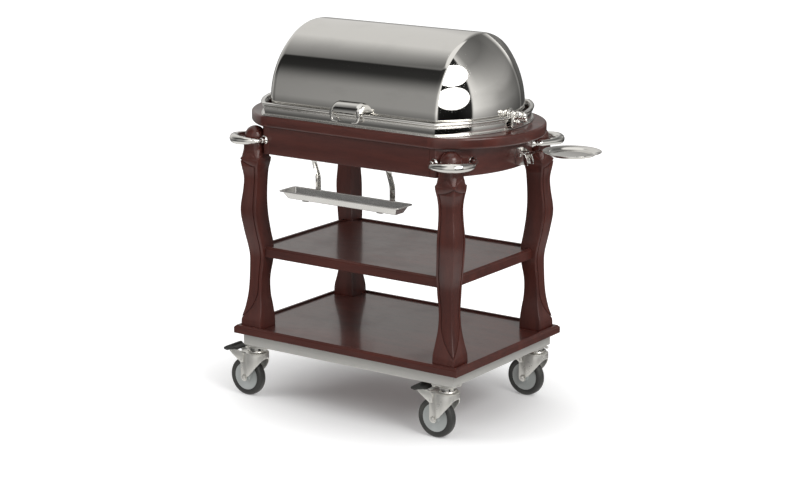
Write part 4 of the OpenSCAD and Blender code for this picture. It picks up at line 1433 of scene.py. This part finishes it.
tread = pulled_across("tread", TREAD_SIDE, -27.5, 55, (1.6, 3, 25))
ribs = []
for number in range(5):
    rib_x, rib_z = RIB_START[0] + RIB_STEP[0] * number, RIB_START[1] + RIB_STEP[1] * number
    rib_side = [(rib_x + along_x, rib_z + up_z) for along_x, up_z in RIB_SIDE]
    ribs.append(pulled_across("rib", rib_side, -22, 44, (0.5, 2, 40)))
tread = fuse("brake_tread", tread, *ribs)
print("castor parts:", [(p.name, len(p.data.polygons)) for p in (fork, hub, tyre, cheeks, tread)])

# %% [markdown]
# ## Four castors
# Every castor is a copy, because all four come off the same press. Each of its pieces rides on the body
# that moves it: the fork swivels, the wheel rolls inside it, and the pedal tilts on its rivets.

# %% Four castors
for corner, (sx, sy) in CASTORS.items():
    step = millimetres(sx * CASTOR[0], sy * CASTOR[1], 0)
    parts = [(fork, "fork", ZINC, "zinc_castor", "fork_", "castor_fork_"),
             (hub, "wheel_centre", HUB, "grey_hub", "wheel_", "castor_wheel_"),
             (tyre, "tyre", TYRE, "grey_tyre", "wheel_", "castor_tyre_"),
             (cheeks, "brake_cheeks", ZINC, "zinc_castor", "pedal_", "brake_pedal_"),
             (tread, "brake_tread", PEDAL, "black_pedal", "pedal_", "brake_pedal_")]
    for part, name, finish, slot, body, node in parts:
        copy = moved(part, name + "_" + corner, step)
        deliver(copy, finish, slot, body + corner, node + corner, smooth=38)
for part in (fork, hub, tyre, cheeks, tread):
    bpy.data.objects.remove(part)

# %% [markdown]
# ## Bars that follow a path
# Handles, straps and arms are bars that bend. A flat section is drawn across the start of the path and
# extruded from point to point; at each point it is turned to face the new direction and resized, so a
# bar can swell in the middle and thin out towards its ends, as a cast handle does.

# %% Bars along a path
AXES = {"X": Vector((1, 0, 0)), "Y": Vector((0, 1, 0)), "Z": Vector((0, 0, 1))}


def rounded_path(corners, radii, steps=6):
    """The points of a path whose inner corners are rounded off, each to its radius in millimetres."""
    path = [corners[0]]
    for before, corner, after, radius in zip(corners, corners[1:], corners[2:], radii):
        back, ahead = (before - corner).normalized(), (after - corner).normalized()
        reach = radius * MM / tan(back.angle(ahead) / 2)
        start, end = corner + back * reach, corner + ahead * reach
        for share in [i / steps for i in range(steps + 1)]:
            path.append(start * (1 - share) ** 2 + corner * 2 * share * (1 - share) + end * share ** 2)
    return path + [corners[-1]]


def heading(path, i):
    """The direction of a path at point i, halfway between its two neighbours."""
    before = path[i] - path[max(i - 1, 0)]
    after = path[min(i + 1, len(path) - 1)] - path[i]
    return (before.normalized() + after.normalized()).normalized()


def swept(name, section, path, axis, growth=lambda share: 1.0):
    """A bar along a path that lies flat across an axis; the section is (along the axis, across) in mm."""
    normal = AXES[axis]
    across = normal.cross(heading(path, 0))
    size = growth(0)
    piece = outline(name, [path[0] + (normal * u + across * v) * size * MM for u, v in section])
    for i in range(1, len(path)):
        was, now = heading(path, i - 1), heading(path, i)
        pull(path[i] - path[i - 1])
        bend = atan2(was.cross(now).dot(normal), was.dot(now))
        bpy.ops.transform.rotate(value=-bend, orient_axis=axis, center_override=path[i])
        next_size = growth(i / (len(path) - 1))
        bpy.ops.transform.resize(value=(next_size / size,) * 3, center_override=path[i])
        size = next_size
    choose_all()
    bpy.ops.mesh.fill_holes(sides=0)
    tidy()
    as_object()
    return piece


def oval_section(half_width, half_height, sides=28):
    """An oval, about the middle of a bar."""
    angles = [2 * pi * i / sides for i in range(sides)]
    return [(half_width * cos(angle), half_height * sin(angle)) for angle in angles]


def flat_section(width, thick, radius):
    """A flat bar with rounded edges, about its middle."""
    return [(u - width / 2, v - thick / 2) for u, v in rounded_rectangle(width, thick, radius, 3)]


print("path tools ready")

# %% [markdown]
# ## Bow handles
# A handle is bowed round each leg top. It is fat in the middle of the grip and thins out to a hooked
# elbow at each end, where it enters a bell-shaped foot that is screwed to the apron. The middle of the
# grip is an arc about the leg's axis, and the path leaves it along a tangent at each end.

# %% Bow handles and feet
bow_low, bow_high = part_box("corner_handles")
BOW_Z = (bow_low.z + bow_high.z) / 2 / MM
BOW_RADIUS, GRIP, NECKING = 66.0, 14.6, 6.4
# Each foot: its place, the way out of the apron, the angle where the bow begins, and the elbow's radius.
FEET = [((318, -APRON[0]), (0, -1), -118, 33), ((391, -166), (0.889, -0.457), 20, 20)]


def on_bow(angle):
    """A place on the grip, at an angle about the leg's axis."""
    turned_by = radians(angle)
    return millimetres(LEG[0] + BOW_RADIUS * cos(turned_by), LEG[1] + BOW_RADIUS * sin(turned_by), BOW_Z)


def elbow(foot, out, angle):
    """Where the line out of a foot crosses the bow's tangent at an angle."""
    base, touch = millimetres(*foot, BOW_Z), on_bow(angle)
    tangent = Vector((-sin(radians(angle)), cos(radians(angle)), 0))
    side = Vector((-out[1], out[0], 0))
    return touch + tangent * (base - touch).dot(side) / tangent.dot(side)


ends = []
IN_FOOT, GRIP_STEP = 6, 6
for foot, out, angle, radius in FEET:
    start = millimetres(*foot, BOW_Z) + Vector((*out, 0)) * IN_FOOT * MM
    ends.append(rounded_path([start, elbow(foot, out, angle), on_bow(angle)], [radius]))
grip_angles = range(FEET[0][2] + GRIP_STEP, FEET[1][2] - GRIP_STEP + 1, GRIP_STEP)
grip = [on_bow(angle) for angle in grip_angles]
bow_path = ends[0] + grip + ends[1][::-1]
bow = swept("bow", oval_section(1, 1, 32), bow_path, "Z",
            lambda share: NECKING + (GRIP - NECKING) * sin(pi * share) ** 2)

BELL = [(-0.4, 0), (-0.4, 12.6), (0.8, 13.4), (2.2, 13.4), (3.0, 12.4), (5, 10.8), (8, 9.4), (11, 8.4),
        (14, 7.8), (16, 8.2), (17, 8.3), (18, 7.6), (19, 6.6), (20, 5.2), (20, 0)]
bells = [turned("bell", BELL, millimetres(*foot, BOW_Z), (*out, 0), 40) for foot, out, *_ in FEET]
bow = fuse("bow_handle_front_right", bow, *bells)
bows = [flipped(bow, "bow_handle_" + corner, flip) for corner, flip in corner_flips.items()]
bows = fuse("bow_handles", bow, *bows)
deliver(bows, FITTINGS, "polished_fittings", "table", "corner_handles", "handle_feet")

# %% [markdown]
# ## Knife tray
# The tray is pressed from one sheet: a long rectangle with rounded corners, a flat rim, sloping walls
# and a flat floor. The rim's outline is drawn and inset, the inner face is pushed down and drawn in to
# make the walls and the floor, and the rim's outer edge is turned down. The press works in the same
# order, and the sheet keeps one thickness, so Solidify comes last.

# %% Knife tray
tray_low, tray_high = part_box("knife_tray")
tray_size = (tray_high - tray_low) / MM
TRAY_RIM, TRAY_SLOPE, TRAY_SHEET, TRAY_LIP = 8.0, 14.0, 1.2, 2.0
tray_middle = (tray_low + tray_high) / 2
tray = outline("knife_tray_bowl", [tray_low + millimetres(u, v, tray_size.z - TRAY_SHEET / 2)
                                   for u, v in rounded_rectangle(tray_size.x, tray_size.y, 13, 6)])
bpy.ops.mesh.inset(thickness=TRAY_RIM * MM)
pull((0, 0, -(tray_size.z - TRAY_SHEET) * MM))
mouth = [length - 2 * TRAY_RIM for length in tray_size[:2]]
draw_in = [(length - 2 * TRAY_SLOPE) / length for length in mouth]
bpy.ops.transform.resize(value=(*draw_in, 1), center_override=tray_middle)
soften(6 * MM, 5, 25, lambda edge: centre_of(edge).z < tray_middle.z)
soften(1.6 * MM, 3, 25, lambda edge: centre_of(edge).z > tray_middle.z and not edge.is_boundary)
pick("EDGE", lambda edge: edge.is_boundary)
pull((0, 0, -TRAY_LIP * MM))
tidy()
as_object()
apply(tray, "SOLIDIFY", thickness=TRAY_SHEET * MM, offset=0.0)
break_edges(tray, 0.4, 2, 60)
deliver(tray, TRAY, "polished_fittings", "tray", "knife_tray", smooth=40)

# %% [markdown]
# ## Tray straps
# Two flat straps are screwed to the back of the front apron rail. They hang down, sweep back to pass
# behind the tray, and turn forward under it. Such a strap is bent cold from bar stock, so it is a flat
# section that follows a path with rounded corners.

# %% Tray straps
strap_low, strap_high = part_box("tray_straps")
STRAP_W, STRAP_THICK = 20.0, 3.0
strap_x = strap_high.x / MM - STRAP_W / 2
under = strap_low.z / MM + STRAP_THICK / 2
behind = strap_high.y / MM - STRAP_THICK / 2
rail_back = -APRON[0] + APRON_THICK
# The heights where the strap leaves the rail and where it is upright again, its bends, and its screws.
SWEEP_TOP, SWEEP_FOOT = 800, 743
STRAP_BENDS = [70, 70, 7]
SCREW_HEIGHTS = (818, 856)
strap_corners = [(rail_back + STRAP_THICK / 2, strap_high.z / MM), (rail_back + STRAP_THICK / 2, SWEEP_TOP),
                 (behind, SWEEP_FOOT), (behind, under), (strap_low.y / MM, under)]
strap_path = rounded_path([millimetres(strap_x, y, z) for y, z in strap_corners], STRAP_BENDS)
strap = swept("strap", flat_section(STRAP_W, STRAP_THICK, 1.2), strap_path, "X")
edit(strap)
soften(0.5 * MM, 2, 60)
as_object()
strap_screws = [stud("strap_screw", (strap_x, rail_back + STRAP_THICK, z), (0, 1, 0), 4.0, 2.0, 24)
                for z in SCREW_HEIGHTS]
strap = fuse("strap", strap, *strap_screws)
straps = fuse("tray_hanging_straps", strap, flipped(strap, "strap_left", (-1, 1, 1)))
deliver(straps, FITTINGS, "polished_fittings", "table", "tray_straps")

# %% [markdown]
# ## Plate bracket
# The plate holder folds down at the right end. Its U-shaped bracket has two cheeks, each a quarter
# disc, on a back plate that is screwed to the apron, and a pivot screw through both cheeks carries the
# arm. The cheeks are flat plate, so an outline with an arc is drawn and pulled to its thickness.

# %% Bracket and screws
bracket_low, bracket_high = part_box("plate_bracket")
CHEEK = 3.0
tip_pivot = Vector(JOINTS["plate_fold"]["pos_m"])
wall_x, cheek_radius = bracket_low.x / MM, (bracket_high.x - bracket_low.x) / MM
cheek_foot = bracket_low.z / MM
cheek_side = [(wall_x, cheek_foot), (wall_x + cheek_radius - 1, cheek_foot)]
for angle in [radians(a) for a in range(0, 91, 6)]:
    cheek_side.append((wall_x + cheek_radius * cos(angle), cheek_foot + 3 + cheek_radius * sin(angle)))
near_y, far_y = bracket_low.y / MM, bracket_high.y / MM
bracket_cheeks = [pulled_across("cheek", cheek_side, y, CHEEK, (0.9, 3, 60))
                  for y in (near_y, far_y - CHEEK)]
bracket_height = (bracket_high.z - bracket_low.z) / MM
back_plate = outline("back_plate", [millimetres(wall_x, near_y + u, cheek_foot + v)
                                    for u, v in rounded_rectangle(far_y - near_y, bracket_height, 2.5, 3)])
pull(millimetres(CHEEK, 0, 0))
tidy()
soften(0.6 * MM, 2, 60)
as_object()
bracket = fuse("plate_holder_bracket", *bracket_cheeks, back_plate)
deliver(bracket, FITTINGS, "polished_fittings", "table", "plate_bracket")

screw_x, screw_z = tip_pivot.x / MM, tip_pivot.z / MM
pivot_screws = [stud("screw", (screw_x, far_y, screw_z), (0, 1, 0), 5.6, 3.2, 32),
                stud("screw", (screw_x, near_y, screw_z), (0, -1, 0), 5.6, 3.2, 32)]
span = far_y - near_y
pin_side = [(0, 0), (0, 4), (span, 4), (span, 0)]
pin = turned("pin", pin_side, millimetres(screw_x, near_y, screw_z), (0, 1, 0), 24)
screws = fuse("bracket_pivot_screws", *pivot_screws, pin)
deliver(screws, FITTINGS, "polished_fittings", "table", "bracket_screws")

# %% [markdown]
# ## Plate arm and dish
# The arm is a flat bar with a barrel for the pivot at one end, and it widens towards the dish. The dish
# is spun like a saucer: a flat well, a sloping wall and a rolled rim. Its profile has an upper and a
# lower side, so the sheet's thickness is in it from the start.

# %% Arm and dish
dish_low, dish_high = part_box("plate_dish")
dish_centre = Vector(((dish_low.x + dish_high.x) / 2, (dish_low.y + dish_high.y) / 2, dish_low.z))
DISH = (dish_high.x - dish_low.x) / 2 / MM
arm_y = tip_pivot.y / MM
ARM_BARREL = [(0, 4.1), (0, 8.2), (0.8, 9), (23.2, 9), (24, 8.2), (24, 4.1), (0, 4.1)]
arm_barrel = turned("barrel", ARM_BARREL, millimetres(screw_x, arm_y - 12, screw_z), (0, 1, 0), 40)
arm_end = dish_centre.x / MM - DISH + 9
arm_corners = [(screw_x + 6, screw_z), (screw_x + 24, screw_z + 5), (arm_end - 22, dish_low.z / MM + 1),
               (arm_end, dish_low.z / MM + 7.5)]
arm_path = rounded_path([millimetres(x, arm_y, z) for x, z in arm_corners], [30, 40])
arm = swept("arm", oval_section(7.5, 3.4), arm_path, "Y", lambda share: 1.0 + 0.35 * share ** 2)
arm = fuse("plate_holder_arm", arm, arm_barrel)
deliver(arm, FITTINGS, "polished_fittings", "plate_holder", "plate_arm")

SAUCER_BELOW = [(0, 0), (0, 64), (0.6, 68), (3.5, 71.5), (6.6, 74.5), (8.2, 79), (9.0, 84), (10.2, 88.2)]
SAUCER_ABOVE = [(11.7, 88.7), (12.0, 87.4), (11.2, 84.6), (9.8, 79), (8.4, 74), (5.2, 70.2), (2.6, 67.4),
                (1.9, 63), (1.8, 54), (2.3, 50), (2.5, 44), (2.5, 0)]
SAUCER = SAUCER_BELOW + [(10.9, DISH)] + SAUCER_ABOVE
dish = turned("plate_holder_dish", SAUCER, dish_centre, (0, 0, 1), 128)
deliver(dish, FITTINGS, "polished_fittings", "plate_holder", "plate_dish", smooth=40)

# %% [markdown]
# ## Dome pivots
# A turned barrel sits over the gallery at each end and clamps the fixed shaft on which the dome rolls.
# Below it a saddle hugs the gallery's wall, held by two screws with ball heads. The barrel's rings and
# hollows are one long profile on the lathe, drawn point by point as a wood turner reads a pattern.

# %% Pivot housings and clamp screws
BARREL = [(0, 8.1), (0, 10.4), (0.7, 11), (1.8, 12.2), (3.2, 13), (5.6, 13), (7, 12.2), (8.6, 11),
          (10.6, 10.8), (13, 11.4), (16, 12.4), (19, 12.8), (22, 12.4), (24.4, 11.4), (26, 11), (27, 12),
          (28.4, 13), (31.6, 13), (33, 12), (34.4, 10.2), (36, 9.8), (38.4, 10.4), (41, 11.4), (44, 11.6),
          (46.6, 10.6), (49.2, 8.2), (51.4, 5.2), (52.6, 2.6), (53, 0)]
barrel_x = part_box("pivot_housings")[1].x / MM - BARREL[-1][0]
housing_barrel = turned("barrel", BARREL, millimetres(barrel_x, 0, PIVOT.z / MM), (1, 0, 0), 56)
clamp_low, clamp_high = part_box("clamp_screws")
BALL_HEAD, HEAD_OUT = 7.5, 11
face_x = clamp_high.x / MM - BALL_HEAD - HEAD_OUT
clamp_y, clamp_z = clamp_high.y / MM - BALL_HEAD, (clamp_low.z + clamp_high.z) / 2 / MM
SADDLE_W, SADDLE_T, SADDLE_ROUND = 60, 7.6, 6
saddle_low, saddle_high = deck + 6, PIVOT.z / MM - 4
saddle_face = rounded_rectangle(SADDLE_W, saddle_high - saddle_low, SADDLE_ROUND, 5)
saddle = outline("saddle", [millimetres(face_x - SADDLE_T, -SADDLE_W / 2 + u, saddle_low + v)
                            for u, v in saddle_face])
pull(millimetres(SADDLE_T, 0, 0))
tidy()
soften(1.6 * MM, 3, 60)
as_object()
housing = fuse("pivot_housing_right", housing_barrel, saddle)
housings = fuse("pivot_housing_barrels", housing, flipped(housing, "pivot_housing_left", (-1, 1, 1)))
deliver(housings, FITTINGS, "polished_fittings", "table", "pivot_housings")

clamp_side = [(0, 0), (0, 4.6), (1.2, 4.8), (2.0, 4.0), (2.4, 3.2), (3.6, 3.0)]
for angle in [radians(a) for a in range(-60, 90, 10)]:
    clamp_side.append((HEAD_OUT + BALL_HEAD * sin(angle), BALL_HEAD * cos(angle)))
clamp_side.append((HEAD_OUT + BALL_HEAD, 0))
clamp = turned("clamp", clamp_side, millimetres(face_x, clamp_y, clamp_z), (1, 0, 0), 36)
clamps = [clamp] + [flipped(clamp, "clamp", flip) for flip in ((1, -1, 1), (-1, 1, 1), (-1, -1, 1))]
deliver(fuse("clamp_ball_screws", *clamps), FITTINGS, "polished_fittings", "table", "clamp_screws")

# %% [markdown]
# ## Dome handle
# The dome's handle is a cast hood over its lower edge. A bun is spun about a level line and cut in half,
# Solidify hollows it, and the dome's own radius trims its back. From its front corners two horns reach
# down outside the gallery and curl towards each other. They taper, so each is a swept bar whose section
# shrinks on the way.

# %% Dome handle
hood_low, hood_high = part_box("dome_handle")
HOOD_W, HOOD_R, HOOD_SHEET = hood_high.x / MM, 38.0, 5.0
ROUND_ALONG, ROUND_DOWN = 20, 16
hood_y, hood_z = hood_low.y / MM + HOOD_R, hood_high.z / MM - HOOD_R
hood_edge = rim_top + 3.0
half_bun = []
for angle in [radians(a) for a in range(0, 91, 15)]:
    half_bun.append((HOOD_W - ROUND_ALONG * (1 - sin(angle)), HOOD_R - ROUND_DOWN * (1 - cos(angle))))
half_bun.append((HOOD_W, 0))
whole_bun = [(-along_x, radius) for along_x, radius in reversed(half_bun)] + half_bun
bun = turned("bun", whole_bun, millimetres(0, hood_y, hood_z), (1, 0, 0), 72)
edit(bun)
choose_all()
bpy.ops.mesh.bisect(plane_co=millimetres(0, 0, hood_edge), plane_no=(0, 0, -1), clear_outer=True)
as_object()
apply(bun, "SOLIDIFY", thickness=HOOD_SHEET * MM, offset=-1.0)
inside_dome = DOME_RADIUS / MM - 0.6
tool_side = [(-200, 0), (-200, inside_dome), (200, inside_dome), (200, 0)]
cut(bun, turned("dome_tool", tool_side, PIVOT, (1, 0, 0), 128))
break_edges(bun, 1.2, 3, 50)
horn_foot = hood_low.z / MM
horn_corners = [(HOOD_W - 8, hood_edge + 8), (HOOD_W - 6, hood_edge - 12), (HOOD_W - 10, horn_foot + 4),
                (HOOD_W - 30, horn_foot + 2)]
horn_y = hood_low.y / MM + 4.6
horn_path = rounded_path([millimetres(x, horn_y, z) for x, z in horn_corners], [20, 10], 8)
horn = swept("horn", oval_section(4.0, 6.0, 20), horn_path, "Y", lambda share: 1.0 - 0.65 * share ** 1.5)
hood = fuse("dome_hood_handle", bun, horn, flipped(horn, "horn_left", (-1, 1, 1)))
deliver(hood, FITTINGS, "polished_fittings", "dome", "dome_handle", smooth=35)

# %% [markdown]
# ## Castor plates
# Each castor hangs from a steel plate that is bolted below a corner of the frame. Its corners and its
# edges are rounded. The same tool serves the carving board next, which is such a plate in wood.

# %% Castor plates
def board(name, low, high, radius, rounding):
    """A board between two corners of its box, with rounded corners and edges."""
    size = (high - low) / MM
    corners = rounded_rectangle(size.x, size.y, radius, 5)
    piece = outline(name, [low + millimetres(u, v, 0) for u, v in corners])
    pull(millimetres(0, 0, size.z))
    tidy()
    soften(rounding * MM, 3, 60, lambda edge: span_of(edge).z < 1e-6)
    as_object()
    return piece


plates_low, plates_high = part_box("castor_plates")
PLATE_SET, PLATE_L, PLATE_W = 4.0, 80.0, 61.0
plate_high = plates_high - millimetres(PLATE_SET, PLATE_SET, 0)
plate_low = Vector((plate_high.x - PLATE_L * MM, plate_high.y - PLATE_W * MM, plates_low.z))
plate = board("castor_top_plates", plate_low, plate_high, 9, 1.0)
plates = [flipped(plate, "plate", flip) for flip in ((-1, 1, 1), (1, -1, 1), (-1, -1, 1))]
deliver(fuse("castor_top_plates", plate, *plates), ZINC, "zinc_castor", "table", "castor_plates")

# %% [markdown]
# ## Carving board
# The carving board inside the dome is a slab of beech with a plug below that keeps it in its pan. A
# groove for the juice runs along its edge. A router cuts it, so a ring of the groove's width is made
# and taken out of the slab.

# %% Carving board
carve_low, carve_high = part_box("carving_board")
SLAB, PLUG_IN, JUICE_IN, JUICE_W, JUICE_D = 14.0, 10.0, 17.0, 10.0, 5.0
slab_low = Vector((carve_low.x, carve_low.y, carve_high.z - SLAB * MM))
slab = board("carving_slab", slab_low, carve_high, 8, 2.4)
plug_low = carve_low + millimetres(PLUG_IN, PLUG_IN, 0)
plug = board("plug", plug_low, carve_high - millimetres(PLUG_IN, PLUG_IN, SLAB - 4), 4, 1)
groove_low = Vector((carve_low.x, carve_low.y, carve_high.z)) + millimetres(JUICE_IN, JUICE_IN, -JUICE_D)
groove_size = (carve_high - carve_low) / MM - Vector((1, 1, 0)) * 2 * JUICE_IN
groove_corners = rounded_rectangle(groove_size.x, groove_size.y, 12, 5)
juice_router = outline("juice_router", [groove_low + millimetres(u, v, 0) for u, v in groove_corners])
bpy.ops.mesh.inset(thickness=JUICE_W * MM)
bpy.ops.mesh.delete(type="FACE")
choose_all()
pull(millimetres(0, 0, 2 * JUICE_D))
tidy()
soften(2.2 * MM, 3, 60, lambda edge: centre_of(edge).z < groove_low.z + 1e-5)
as_object()
cut(slab, juice_router)
deliver(fuse("carving_slab", slab, plug), BEECH, "beech_board", "board", "carving_board", smooth=40)
